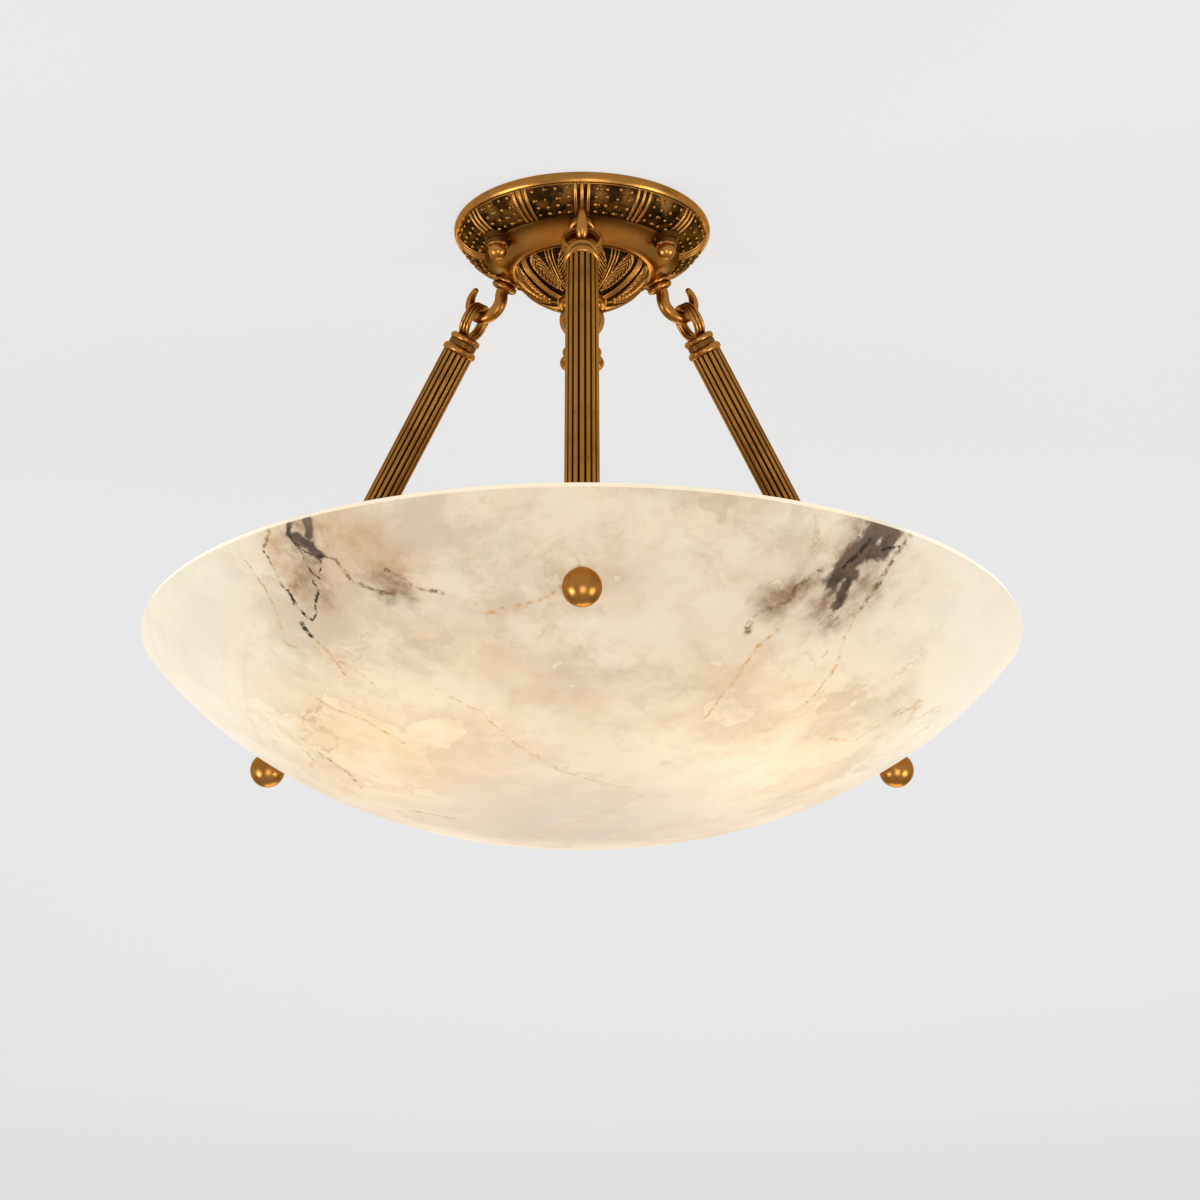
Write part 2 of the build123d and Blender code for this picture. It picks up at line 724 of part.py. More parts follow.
with BuildPart() as lug:
    add(wall_slab(gasket_thickness, gasket_thickness + pad_thickness))
    with BuildSketch(Plane.XZ):
        with Locations(ear_centre):
            Circle(lug_ear_radius)
        for share in (ear_place - lug_ear_radius / wall_length, pad_to - 2.0 / wall_length):
            with Locations(wall_point(share, gasket_thickness + pad_thickness / 2)):
                Circle(pad_thickness / 4)
        make_hull()
        with Locations(ear_centre):
            Circle(lug_hole_radius, mode=Mode.SUBTRACT)
    extrude(amount=lug_ear_thickness / 2, both=True)
    with Locations(stud_location(0, -nut_seat + 2.0)):
        Cylinder(6.2, 4.0)
    with Locations(stud_location(0, -nut_seat)):
        Cylinder(stud_diameter / 2 + hole_slack / 2, 30, mode=Mode.SUBTRACT)
for name, angle in zip(arm_names, arm_angles):
    keep(turned(lug.part, angle), f"bowl_lug_{name}")

with BuildPart() as gasket:
    add(wall_slab(-0.5, gasket_thickness))
    add(bowl.part, mode=Mode.SUBTRACT)
    with Locations(stud_location(0, -wall_on_axis)):
        Cylinder(stud_diameter / 2 + hole_slack / 2, 20, mode=Mode.SUBTRACT)
keep(Compound([turned(gasket.part.solid(), angle) for angle in arm_angles]), "lug_gaskets")

finial_radius = finial_diameter / 2
finial_seat = washer_thickness
bore_end = finial_seat + finial_thread
stud_inner_end = nut_seat + nut_height + 2.0

with BuildPart() as finial_studs:
    for angle in arm_angles:
        with Locations(stud_location(angle, (bore_end - 0.5 - stud_inner_end) / 2)):
            Cylinder(stud_diameter / 2, bore_end - 0.5 + stud_inner_end)
keep(finial_studs.part, "finial_studs")

with BuildPart() as lug_nuts:
    for angle in arm_angles:
        place = stud_location(angle, -nut_seat - nut_height)
        with BuildSketch(Plane(place)):
            RegularPolygon(nut_width / sqrt(3), 6)
            Circle(stud_diameter / 2 + running_gap, mode=Mode.SUBTRACT)
        extrude(amount=nut_height)
keep(lug_nuts.part, "lug_nuts")

with BuildPart() as washers:
    for angle in arm_angles:
        with Locations(stud_location(angle, washer_thickness / 2 - 0.5)):
            Cylinder(washer_diameter / 2, washer_thickness + 1.0)
            Cylinder(stud_diameter / 2 + hole_slack / 2, 4 * washer_thickness, mode=Mode.SUBTRACT)
    add(bowl.part, mode=Mode.SUBTRACT)
keep(washers.part, "finial_washers")

with BuildPart() as finial:
    with Locations((0, 0, finial_standoff)):
        Sphere(finial_radius)
    with Locations((0, 0, finial_seat - finial_radius)):
        Box(4 * finial_radius, 4 * finial_radius, 2 * finial_radius, mode=Mode.SUBTRACT)
    with Locations((0, 0, bore_end / 2)):
        Cylinder(stud_diameter / 2 + running_gap, bore_end, mode=Mode.SUBTRACT)
for name, angle in zip(arm_names, arm_angles):
    keep(stud_location(angle, 0) * finial.part, f"ball_finial_{name}")

# Stem: eye through the button's ring, collar of two beads, reeded tube
ring_low = -button_ring_drop - button_ring_radius
stem_eye_centre = ring_low + button_ring_wire / 2 + stem_eye_wire / 2 + free_gap - stem_eye_radius
stem_tube_top = -stem_second_bead[0] - stem_second_bead[2]
stem_end = rim_drop + stem_below_rim
lamp_axis_drop = rim_drop + lamps_below_rim

with BuildPart() as stem_head:
    with Locations(Location((0, 0, stem_eye_centre), (0, 90, 0))):
        Torus(stem_eye_radius, stem_eye_wire / 2)
    for drop, radius, thickness in (stem_first_bead, stem_second_bead):
        with Locations((0, 0, -drop)):
            Torus(radius - thickness, thickness)
    with BuildSketch(Plane.XY.offset(-stem_first_bead[0] + 0.8)):
        Circle(core_radius + 1.2)
    extrude(amount=stem_tube_top + stem_first_bead[0] - 0.8)
    with BuildSketch(Plane.XY.offset(stem_tube_top)):
        Circle(shaft_bore / 2 - running_gap)
    extrude(amount=-spigot_length)
keep(stem_head.part, "stem_head")

with BuildPart() as stem:
    with BuildSketch(Plane.XY.offset(stem_tube_top)):
        Circle(reed_circle + 0.35)
        with PolarLocations(reed_circle, reed_count):
            Circle(reed_radius)
        Circle(shaft_bore / 2, mode=Mode.SUBTRACT)
    extrude(amount=-(stem_end + stem_tube_top))
keep(stem.part, "stem_tube")

# Cluster body, its cover and locknut
cluster_radius = cluster_diameter / 2
cluster_low = -stem_end - cluster_height
nipple_radius = 4.9

with BuildPart() as cluster:
    with BuildSketch(Plane.XZ):
        with BuildLine():
            Polyline(
                (tie_radius + hole_slack / 2, -stem_end),
                (11.5, -stem_end),
                (11.5, -stem_end - 3),
            )
            Bezier(
                (11.5, -stem_end - 3),
                (14.0, -stem_end - 7),
                (cluster_radius - 2, -stem_end - 4),
                (cluster_radius, -stem_end - 9),
            )
            Polyline(
                (cluster_radius, -stem_end - 9),
                (cluster_radius, cluster_low),
                (cluster_radius - cluster_wall, cluster_low),
                (cluster_radius - cluster_wall, -stem_end - 10),
                (tie_radius + hole_slack / 2, -stem_end - 10),
                (tie_radius + hole_slack / 2, -stem_end),
            )
        make_face()
    revolve(axis=Axis.Z)
    for angle in between_angles:
        side = Location((0, 0, 0), (0, 0, angle)) * Location((holder_start, 0, -lamp_axis_drop), (0, 90, 0))
        with Locations(side * Pos(0, 0, -2.5)):
            Cylinder(9.0, 5.0)
        with Locations(side):
            Cylinder(nipple_radius + running_gap, 20, mode=Mode.SUBTRACT)
keep(cluster.part, "cluster_body")

with BuildPart() as cover:
    with BuildSketch(Plane.XZ):
        with BuildLine():
            Polyline(
                (tie_radius + hole_slack / 2, cluster_low),
                (cluster_radius, cluster_low),
                (cluster_radius, cluster_low - 1.6),
            )
            Bezier(
                (cluster_radius, cluster_low - 1.6),
                (cluster_radius - 6, cluster_low - 7),
                (14, cluster_low - 4),
                (8, cluster_low - 8),
            )
            Polyline(
                (8, cluster_low - 8),
                (tie_radius + hole_slack / 2, cluster_low - 8),
                (tie_radius + hole_slack / 2, cluster_low),
            )
        make_face()
    revolve(axis=Axis.Z)
keep(cover.part, "cluster_cover")

with BuildPart() as cluster_bolt:
    with BuildSketch(Plane.XY.offset(cluster_low - 12)):
        Circle(tie_radius)
    extrude(amount=-stem_end + 6 - cluster_low + 12)
    with Locations((0, 0, cluster_low - 8 - 4.2)):
        Sphere(6.4)
    with Locations((0, 0, cluster_low - 8 + 5)):
        Cylinder(6.6, 10, mode=Mode.SUBTRACT)
    with BuildSketch(Plane.XY.offset(cluster_low - 8)):
        Circle(tie_radius)
    extrude(amount=-stem_end + 6 - cluster_low + 8)
keep(cluster_bolt.part, "cluster_knob_bolt")

# Lampholder and bulb, built along +Z from the vertical axis, then laid outwards
holder_end = holder_start + holder_length

with BuildPart() as holder:
    with BuildSketch(Plane.XZ):
        with BuildLine():
            Polyline(
                (0, holder_start - 5),
                (nipple_radius, holder_start - 5),
                (nipple_radius, holder_start),
                (holder_diameter / 2 - 1.5, holder_start),
                (holder_diameter / 2, holder_start + 1.5),
                (holder_diameter / 2, holder_end),
                (holder_bore / 2, holder_end),
                (holder_bore / 2, holder_start + 7),
                (0, holder_start + 7),
                (0, holder_start - 5),
            )
        make_face()
    revolve(axis=Axis.Z)

cap_radius = bulb_cap_diameter / 2
cap_start = holder_start + 7 + free_gap
cap_end = holder_end + 1.5
bulb_radius = bulb_diameter / 2

with BuildPart() as cap:
    with BuildSketch(Plane.XZ):
        with BuildLine():
            Polyline(
                (0, cap_start),
                (2.4, cap_start),
                (cap_radius, cap_start + 4),
                (cap_radius, cap_end),
                (0, cap_end),
                (0, cap_start),
            )
        make_face()
    revolve(axis=Axis.Z)



def neck_turn(width, radius):
    """Angle below level at which a straight neck of this half width touches the bulb's sphere."""
    down = bulb_centre - cap_end
    return degrees(atan2(down, width) - acos(radius / sqrt(down * down + width * width)))


with BuildPart() as glass:
    with BuildSketch(Plane.XZ):
        with BuildLine():
            neck_outer, neck_inner = cap_radius + 1.4, cap_radius - glass_wall
            outer_turn = neck_turn(neck_outer, bulb_radius)
            inner_turn = neck_turn(neck_inner, bulb_radius - glass_wall)
            outside = CenterArc((0, bulb_centre), bulb_radius, -outer_turn, 90 + outer_turn)
            inside = CenterArc((0, bulb_centre), bulb_radius - glass_wall, -inner_turn, 90 + inner_turn)
            Polyline(outside @ 0, (neck_outer, cap_end), (neck_inner, cap_end), inside @ 0)
            Line(outside @ 1, inside @ 1)
        make_face()
    revolve(axis=Axis.Z)

for name, angle in zip(between_names, between_angles):
    outwards = Location((0, 0, 0), (0, 0, angle)) * Location((0, 0, -lamp_axis_drop), (0, 90, 0))
    keep(outwards * holder.part, f"lampholder_{name}")
    keep(outwards * cap.part, f"bulb_cap_{name}")
    keep(outwards * glass.part, f"bulb_glass_{name}")

apex = hook_centre_height + hook_centre_radius / sin(arm_lean) * cos(arm_lean)
reach_up = hook_centre_radius / sin(arm_lean)
link_reach = foot_ring_centre + foot_ring_radius
print(f"hook centre: radius {hook_centre_radius:.3f}, height {hook_centre_height:.3f}")
print(f"apex of the arms' lines: {apex:.3f} above the ceiling")
print(f"arm swing per bowl sway: {(reach_up + link_reach) / link_reach:.4f}")
print(f"ear centre: {ear_centre[0]:.3f}, {ear_centre[1]:.3f}")
print(f"stud seat: {stud_outer}, normal {stud_normal}, wall {wall_on_axis:.3f}")
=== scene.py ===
# %% [markdown]
# # Alabaster semi flush light
# The light is an assembly: a brass canopy at the ceiling, three reeded brass arms on hooks, and a bowl
# of veined alabaster. The CAD model gives every piece its place and size. This script dresses that
# model: it adds the carved ornament, builds the finishes from nodes, and sets up a plain studio.

import json
from math import atan2, cos, degrees, pi, radians, sin

import bpy
import numpy as np
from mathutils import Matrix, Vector


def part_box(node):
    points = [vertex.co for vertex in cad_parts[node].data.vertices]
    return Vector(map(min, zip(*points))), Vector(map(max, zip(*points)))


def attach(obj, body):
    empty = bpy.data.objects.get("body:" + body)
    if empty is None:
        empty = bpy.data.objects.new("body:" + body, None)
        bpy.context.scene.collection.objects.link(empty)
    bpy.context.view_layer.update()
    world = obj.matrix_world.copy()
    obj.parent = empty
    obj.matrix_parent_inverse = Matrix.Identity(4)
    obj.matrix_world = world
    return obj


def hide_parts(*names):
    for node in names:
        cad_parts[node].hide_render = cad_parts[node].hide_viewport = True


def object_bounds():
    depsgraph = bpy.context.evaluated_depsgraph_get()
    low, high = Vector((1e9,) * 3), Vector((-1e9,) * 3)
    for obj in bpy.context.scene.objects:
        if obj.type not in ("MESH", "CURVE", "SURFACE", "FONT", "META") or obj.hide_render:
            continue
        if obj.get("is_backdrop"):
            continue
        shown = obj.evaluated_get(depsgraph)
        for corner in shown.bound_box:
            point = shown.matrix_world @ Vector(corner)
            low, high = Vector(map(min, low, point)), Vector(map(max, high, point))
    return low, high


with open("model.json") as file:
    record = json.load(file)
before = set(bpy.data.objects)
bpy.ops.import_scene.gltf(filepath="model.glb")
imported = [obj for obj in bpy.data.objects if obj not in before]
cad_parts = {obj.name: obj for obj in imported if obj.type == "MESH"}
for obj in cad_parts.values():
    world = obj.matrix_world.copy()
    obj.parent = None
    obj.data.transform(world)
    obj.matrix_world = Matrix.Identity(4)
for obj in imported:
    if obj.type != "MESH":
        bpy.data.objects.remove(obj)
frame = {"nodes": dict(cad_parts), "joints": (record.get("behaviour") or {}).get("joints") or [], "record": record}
cad_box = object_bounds()
nodes = frame["nodes"]
joints = {joint["name"]: joint for joint in frame["joints"]}

# %% [markdown]
# The arms, hooks and finials repeat every 120 degrees, with one arm at the front. The ball nuts and
# the lamps sit half way between them. Lengths are in metres, and the height is 0 at the ceiling, so
# one name for a millimetre keeps the numbers readable.

# %% Places that repeat
arm_angles = {"front": -90, "right": 30, "left": 150}
between_angles = {"front_right": -30, "back": 90, "front_left": 210}
mm = 0.001


def around(angle, radius, height):
    """Point at an angle, in degrees, about the light's upright axis."""
    return Vector((radius * cos(radians(angle)), radius * sin(radians(angle)), height))


hook_centre = {name: Vector(joints["arm_swing_" + name]["pos_m"]) for name in arm_angles}
arm_apex = Vector(joints["bowl_sway"]["pos_m"])
arm_line = {name: (centre - arm_apex).normalized() for name, centre in hook_centre.items()}
arm_lean = atan2(arm_line["front"].xy.length, -arm_line["front"].z)
print("arms lean, degrees:", round(degrees(arm_lean), 2))


# %% [markdown]
# A material is a tree of small steps. Writing each step as one short call keeps the recipe readable,
# so this helper adds a node, fills its inputs in order and returns the socket that is wanted. The
# same helper builds the Geometry Nodes trees further down.

# %% Helper for node trees
class Recipe:
    """Adds nodes to one tree; values and sockets can be mixed freely as inputs."""

    def __init__(self, tree):
        self.tree = tree

    def node(self, kind, inputs=(), **settings):
        made = self.tree.nodes.new(kind)
        for name, value in settings.items():
            setattr(made, name, value)
        pairs = inputs.items() if isinstance(inputs, dict) else enumerate(inputs)
        for key, value in pairs:
            if value is None:
                continue
            if isinstance(value, bpy.types.NodeSocket):
                self.tree.links.new(value, made.inputs[key])
            else:
                made.inputs[key].default_value = value
        return made

    def math(self, operation, *values, clamp=False):
        return self.node("ShaderNodeMath", values, operation=operation, use_clamp=clamp).outputs[0]

    def vector(self, operation, *values):
        made = self.node("ShaderNodeVectorMath", values, operation=operation)
        scalar = operation in ("LENGTH", "DISTANCE", "DOT_PRODUCT")
        return made.outputs["Value" if scalar else "Vector"]

    def scaled(self, vector, factor):
        return self.node("ShaderNodeVectorMath", {0: vector, "Scale": factor}, operation="SCALE").outputs[0]

    def joined(self, x, y, z):
        return self.node("ShaderNodeCombineXYZ", (x, y, z)).outputs[0]

    def split(self, vector):
        return self.node("ShaderNodeSeparateXYZ", [vector]).outputs

    def mix(self, factor, first, second, blend="MIX"):
        inputs = {0: factor, 6: first, 7: second}
        return self.node("ShaderNodeMix", inputs, data_type="RGBA", blend_type=blend).outputs[2]

    def ease(self, value, low, high, out_low=0.0, out_high=1.0):
        """Smooth step of a value between two limits."""
        inputs = (value, low, high, out_low, out_high)
        return self.node("ShaderNodeMapRange", inputs, interpolation_type="SMOOTHSTEP").outputs[0]

    def noise(self, vector, scale, detail=4.0, roughness=0.55, distortion=0.0, out="Fac"):
        inputs = {
            "Vector": vector,
            "Scale": scale,
            "Detail": detail,
            "Roughness": roughness,
            "Distortion": distortion,
        }
        return self.node("ShaderNodeTexNoise", inputs).outputs[out]

    def shifted(self, place, scale, amount, detail=3.0):
        """The place, moved by up to half the amount each way, as a hand or a crack wanders."""
        middle_grey = (0.5, 0.5, 0.5)
        drift = self.vector("SUBTRACT", self.noise(place, scale, detail, 0.6, out="Color"), middle_grey)
        return self.vector("ADD", place, self.scaled(drift, amount))

    def place(self):
        """Object coordinates, which are the shared frame in metres."""
        return self.node("ShaderNodeTexCoord").outputs["Object"]


def new_tree(name, kind, inputs, outputs):
    """An empty node group with named sockets; gives its tree, its input sockets and its recipe."""
    tree = bpy.data.node_groups.new(name, kind)
    for label, socket_kind, value in inputs:
        socket = tree.interface.new_socket(label, in_out="INPUT", socket_type="NodeSocket" + socket_kind)
        if value is not None:
            socket.default_value = value
    for label, socket_kind in outputs:
        tree.interface.new_socket(label, in_out="OUTPUT", socket_type="NodeSocket" + socket_kind)
    return tree, tree.nodes.new("NodeGroupInput").outputs, Recipe(tree)


def close_tree(tree, results):
    """Ends a group by wiring its outputs."""
    end = tree.nodes.new("NodeGroupOutput")
    for name, socket in results.items():
        tree.links.new(socket, end.inputs[name])
    print(tree.name, "has", len(tree.nodes), "nodes")


def new_material(name):
    """A material with only its output and a Principled shader."""
    made = bpy.data.materials.new(name)
    made.use_nodes = True
    shader = next(n for n in made.node_tree.nodes if n.type == "BSDF_PRINCIPLED")
    return made, shader, Recipe(made.node_tree)


def colour(red, green, blue):
    return (red, green, blue, 1.0)


# %% [markdown]
# Antiqued brass is made by darkening the whole casting and then rubbing the high places bright
# again. So the finish needs two things: a mask of the recesses, and soft blotches where the dark
# wax stayed. The blotches are one group that every brass material shares.

# %% Shared group: wax left on antiqued metal, and painted shade on the bell
wax_sockets = [("Place", "Vector", None), ("Recess", "Float", 0.0), ("Blotch", "Float", 0.5)]
wax_results = [("Dark", "Float"), ("Rough", "Float"), ("Height", "Float")]
wax, wax_in, r = new_tree("antique_wax_and_shade", "ShaderNodeTree", wax_sockets, wax_results)
cloud_scale, speck_scale, streak_scale = 45.0, 420.0, 160.0
upright_stretch = (1.0, 1.0, 0.12)
cloud = r.noise(wax_in["Place"], cloud_scale, 5.0, 0.6)
speck = r.noise(wax_in["Place"], speck_scale, 3.0, 0.6)
streak = r.noise(r.vector("MULTIPLY", wax_in["Place"], upright_stretch), streak_scale, 3.0, 0.5)
blotch = r.math("MULTIPLY", r.ease(cloud, 0.45, 0.75), wax_in["Blotch"])
dark = r.math("MAXIMUM", wax_in["Recess"], blotch)
dark = r.math("ADD", dark, r.math("MULTIPLY", r.math("SUBTRACT", speck, 0.5), 0.2), clamp=True)
rough = r.math("ADD", r.math("MULTIPLY", dark, 0.25), r.math("MULTIPLY", streak, 0.12))
height = r.math("ADD", streak, r.math("MULTIPLY", speck, 0.4))
close_tree(wax, {"Dark": dark, "Rough": rough, "Height": height})

# %% [markdown]
# A brass material is the same recipe with another mask, so a function makes each one. The bright
# tone drifts a little between yellow and red brass, as a lacquered casting does. Metal turns white
# where it is seen edge on, and a warm tint keeps the thin reeds and wires from going grey there.

# %% Brass recipe
bright_brass = (0.44, 0.205, 0.050)
# The dark tone is the wax in the hollows, and on the bell it is also painted shade.
dark_wax_and_shade = (0.011, 0.0045, 0.0015)
edge_brass = (1.0, 0.72, 0.45)
red_brass = (0.8 * bright_brass[0], 0.7 * bright_brass[1], 0.55 * bright_brass[2])


def brass_material(name, recess=None, blotch=0.4, shine=0.22):
    """Antiqued brass; recess is a function that adds a mask of the dark places to the tree: wax in hollows, and on
    the bell painted shade.
    """
    made, shader, r = new_material(name)
    place = r.place()
    worn = r.node("ShaderNodeGroup", {"Place": place, "Blotch": blotch}, node_tree=wax)
    if recess:
        r.tree.links.new(recess(r, place), worn.inputs["Recess"])
    tint = r.mix(r.noise(place, 16.0, 2.0), colour(*bright_brass), colour(*red_brass))
    base = r.mix(worn.outputs["Dark"], tint, colour(*dark_wax_and_shade))
    bump_inputs = {"Strength": 0.08, "Distance": 0.0004, "Height": worn.outputs["Height"]}
    r.tree.links.new(base, shader.inputs["Base Color"])
    r.tree.links.new(r.math("ADD", worn.outputs["Rough"], shine, clamp=True), shader.inputs["Roughness"])
    r.tree.links.new(r.node("ShaderNodeBump", bump_inputs).outputs[0], shader.inputs["Normal"])
    shader.inputs["Specular Tint"].default_value = colour(*edge_brass)
    shader.inputs["Metallic"].default_value = 1.0
    print("brass:", name)
    return made


# %% [markdown]
# The arms' reeds stand on a dark tube, and the collars' beads leave dark grooves. A point's distance
# from the piece's middle line tells a crown from the gap beside it, so most recess masks are that
# distance. It works in the shared frame, because every CAD node keeps its place in its mesh.

# %% Recess masks about a line
shaft_radius = 9.3 * mm
reed_foot, reed_crown = shaft_radius - 0.62 * mm, shaft_radius - 0.1 * mm
print("reeds stand, mm:", round((reed_crown - reed_foot) / mm, 2))


def line_parts(r, place, start, direction):
    """How far along a line a point is, and how far away from it."""
    offset = r.vector("SUBTRACT", place, tuple(start))
    along = r.vector("DOT_PRODUCT", offset, tuple(direction))
    foot = r.scaled(r.joined(*direction), along)
    return along, r.vector("LENGTH", r.vector("SUBTRACT", offset, foot))


def crowns_only(start, direction, dark_at, bright_at):
    """Mask that is dark within one radius of a line and bright beyond another."""

    def mask(r, place):
        along, away = line_parts(r, place, start, direction)
        return r.ease(away, dark_at, bright_at, 1.0, 0.0)

    return mask


# %% Recess masks of the eyes and the hooks
eye_drop = 14.6 * mm
eye_twist = {"front": 0, "right": -12, "left": 12}
eye_end, collar_edge, collar_top = 25.5 * mm, 26.5 * mm, 28 * mm
collar_hollow, collar_crown = 7.9 * mm, 9.2 * mm
groove_aside, groove_dark, groove_bright = 1.08 * mm, 0.1 * mm, 0.42 * mm
print("eyes are turned, degrees:", eye_twist)


def arm_head_mask(name):
    """Dark grooves of an arm's eye and collar; distances run down the arm from the hook's centre."""
    centre = hook_centre[name] + arm_line[name] * eye_drop
    side = Vector((0, 0, 1)).cross(arm_line[name]).normalized()
    pull = Vector(arm_line[name])
    twist = radians(eye_twist[name])
    across_arm = pull.cross(side).normalized()
    axis = across_arm * cos(twist) - pull.cross(across_arm) * sin(twist)

    def mask(r, place):
        along, away = line_parts(r, place, hook_centre[name], pull)
        collar = r.ease(away, collar_hollow, collar_crown, 1.0, 0.0)
        collar = r.math("MULTIPLY", collar, r.ease(along, collar_edge, collar_top))
        from_centre = r.vector("SUBTRACT", place, tuple(centre))
        across = r.math("ABSOLUTE", r.vector("DOT_PRODUCT", from_centre, tuple(axis)))
        groove = r.math("ABSOLUTE", r.math("SUBTRACT", across, groove_aside))
        groove = r.ease(groove, groove_dark, groove_bright, 1.0, 0.0)
        groove = r.math("MULTIPLY", groove, r.ease(along, eye_end, collar_edge, 1.0, 0.0))
        return r.math("MAXIMUM", collar, groove)

    return mask


seat_inwards, seat_above, hook_lean = 15.97 * mm, 10.93 * mm, radians(30)
bead_hollow, bead_crown = 5.4 * mm, 6.7 * mm
last_bead, neck_start = 7.6 * mm, 8.4 * mm


def hook_mask(name):
    """Dark groove between the two beads of a hook's collar, and where it meets the bell."""
    outwards = Vector((hook_centre[name].x, hook_centre[name].y, 0)).normalized()
    seat = hook_centre[name] - outwards * seat_inwards + Vector((0, 0, seat_above))
    axis = outwards * sin(hook_lean) + Vector((0, 0, -cos(hook_lean)))

    def mask(r, place):
        along, away = line_parts(r, place, seat, axis)
        groove = r.ease(away, bead_hollow, bead_crown, 1.0, 0.0)
        return r.math("MULTIPLY", groove, r.ease(along, last_bead, neck_start, 1.0, 0.0))

    return mask


# %% [markdown]
# The canopy's band is a convex ring with ornament standing on it. Its section is an arc, so the
# height of a point over the band is its distance from the arc's centre less the arc's radius. Low
# places are dark, and the crowns of ribs and beads are bright. The arc's three points follow from
# the pan's box.

# %% The canopy band's arc
pan_low, pan_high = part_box("canopy_pan")
pan_radius = pan_high.x
band_top = (pan_radius - 2.8 * mm, -6.4 * mm)
band_foot = (pan_radius - 18.6 * mm, pan_low.z)
bulge = (2.4 * mm, 1.6 * mm)
band_middle = (
    (band_top[0] + band_foot[0]) / 2 + bulge[0],
    (band_top[1] + band_foot[1]) / 2 - bulge[1],
)


def circle_through(first, second, third):
    """Centre and radius of the circle through three points of a plane."""
    rows, squares = [], []
    for point in (second, third):
        rows.append([2 * (point[0] - first[0]), 2 * (point[1] - first[1])])
        squares.append(point[0] ** 2 + point[1] ** 2 - first[0] ** 2 - first[1] ** 2)
    centre = np.linalg.solve(np.array(rows), np.array(squares))
    return [float(value) for value in centre], float(np.hypot(*(np.array(first) - centre)))


band_centre, band_radius = circle_through(band_top, band_middle, band_foot)
print("band arc radius, mm:", round(band_radius / mm, 2))


ground_height, crown_height = 0.25 * mm, 0.8 * mm
band_edge, rim_edge = -7.0 * mm, -6.5 * mm


def band_mask(r, place):
    """Dark ground of the canopy's band; ribs and beads stand out of it."""
    x, y, z = r.split(place)
    radius = r.vector("LENGTH", r.joined(x, y, 0.0))
    aside = r.math("SUBTRACT", radius, band_centre[0])
    above = r.math("SUBTRACT", z, band_centre[1])
    stand = r.math("SUBTRACT", r.vector("LENGTH", r.joined(aside, above, 0.0)), band_radius)
    ground = r.ease(stand, ground_height, crown_height, 1.0, 0.0)
    worn = r.ease(r.noise(place, 95.0, 3.0, 0.6), 0.42, 0.68, 0.97, 0.62)
    below_rim = r.ease(z, band_edge, rim_edge, 1.0, 0.0)
    return r.math("MULTIPLY", r.math("MULTIPLY", ground, worn), below_rim)


def darker_above(clean_below, dark_above, most):
    """Mask of a piece's upper part: clean below one height and dark above another."""

    def mask(r, place):
        return r.ease(r.split(place)["Z"], clean_below, dark_above, 0.0, most)

    return mask


# %% Brass for each kind of piece
brass = brass_material("brass_plain")
brass_band = brass_material("brass_canopy_band", band_mask)
upright = (Vector((0.0, 0.0, 0.0)), (0.0, 0.0, -1.0))
stem_hollow, stem_crown = 8.8 * mm, 10.6 * mm
# Painted shade: the bell is darkened towards its top, by the band, and its lower edge stays bright.
bell_painted_shade = darker_above(-26 * mm, -19 * mm, 0.8)
special = {
    "canopy_pan": brass_band,
    "bell_ring": brass_material("brass_bell", bell_painted_shade, blotch=0.15, shine=0.16),
    "stem_tube": brass_material("brass_stem", crowns_only(*upright, reed_foot, reed_crown)),
    "stem_head": brass_material("brass_stem_head", crowns_only(*upright, stem_hollow, stem_crown)),
}
nut_brass = brass_material("brass_ball_nuts", darker_above(-26.5 * mm, -24.5 * mm, 0.7))
special.update({"ball_nut_" + name: nut_brass for name in between_angles})
for name in arm_angles:
    reeds = crowns_only(hook_centre[name], arm_line[name], reed_foot, reed_crown)
    special["arm_shaft_" + name] = brass_material("brass_shaft_" + name, reeds)
    special["arm_head_" + name] = brass_material("brass_head_" + name, arm_head_mask(name))
    special["hook_" + name] = brass_material("brass_hook_" + name, hook_mask(name))

# %% [markdown]
# Two patterns repeat on the band: upright ribs in groups of three every 30 degrees, and small beads
# in four rows between the groups. Both repeat by a plain rule, so Geometry Nodes make them: one rib
# is a round strip swept along the band's arc, and an index turns each copy to its own angle.

# %% Run a Geometry Nodes tree once and keep its mesh
def grown(tree, name, settings, body):
    """A plain mesh piece from a tree; settings are given by socket name."""
    piece = bpy.data.objects.new(name, bpy.data.meshes.new(name + "_start"))
    bpy.context.collection.objects.link(piece)
    modifier = piece.modifiers.new("grow", "NODES")
    modifier.node_group = tree
    for socket in tree.interface.items_tree:
        if getattr(socket, "in_out", "") == "INPUT" and socket.name in settings:
            modifier[socket.identifier] = settings[socket.name]
    evaluated = piece.evaluated_get(bpy.context.evaluated_depsgraph_get())
    mesh = bpy.data.meshes.new_from_object(evaluated)
    piece.modifiers.clear()
    piece.data = mesh
    mesh.name = name
    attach(piece, body)
    print(name, "faces:", len(mesh.polygons))
    return piece


def arc_curve(r, steps=16):
    """The band's arc as a curve in the plane of +X."""
    points = {
        "Resolution": steps,
        "Start": (band_top[0], 0.0, band_top[1]),
        "Middle": (band_middle[0], 0.0, band_middle[1]),
        "End": (band_foot[0], 0.0, band_foot[1]),
    }
    return r.node("GeometryNodeCurveArc", points, mode="POINTS").outputs["Curve"]


def finished(r, geometry, material):
    """Smooth shading, real geometry and the material, in that order."""
    real = r.node("GeometryNodeRealizeInstances", {"Geometry": geometry}).outputs[0]
    smooth = r.node("GeometryNodeSetShadeSmooth", {0: real}).outputs[0]
    return r.node("GeometryNodeSetMaterial", {"Geometry": smooth, "Material": material}).outputs[0]


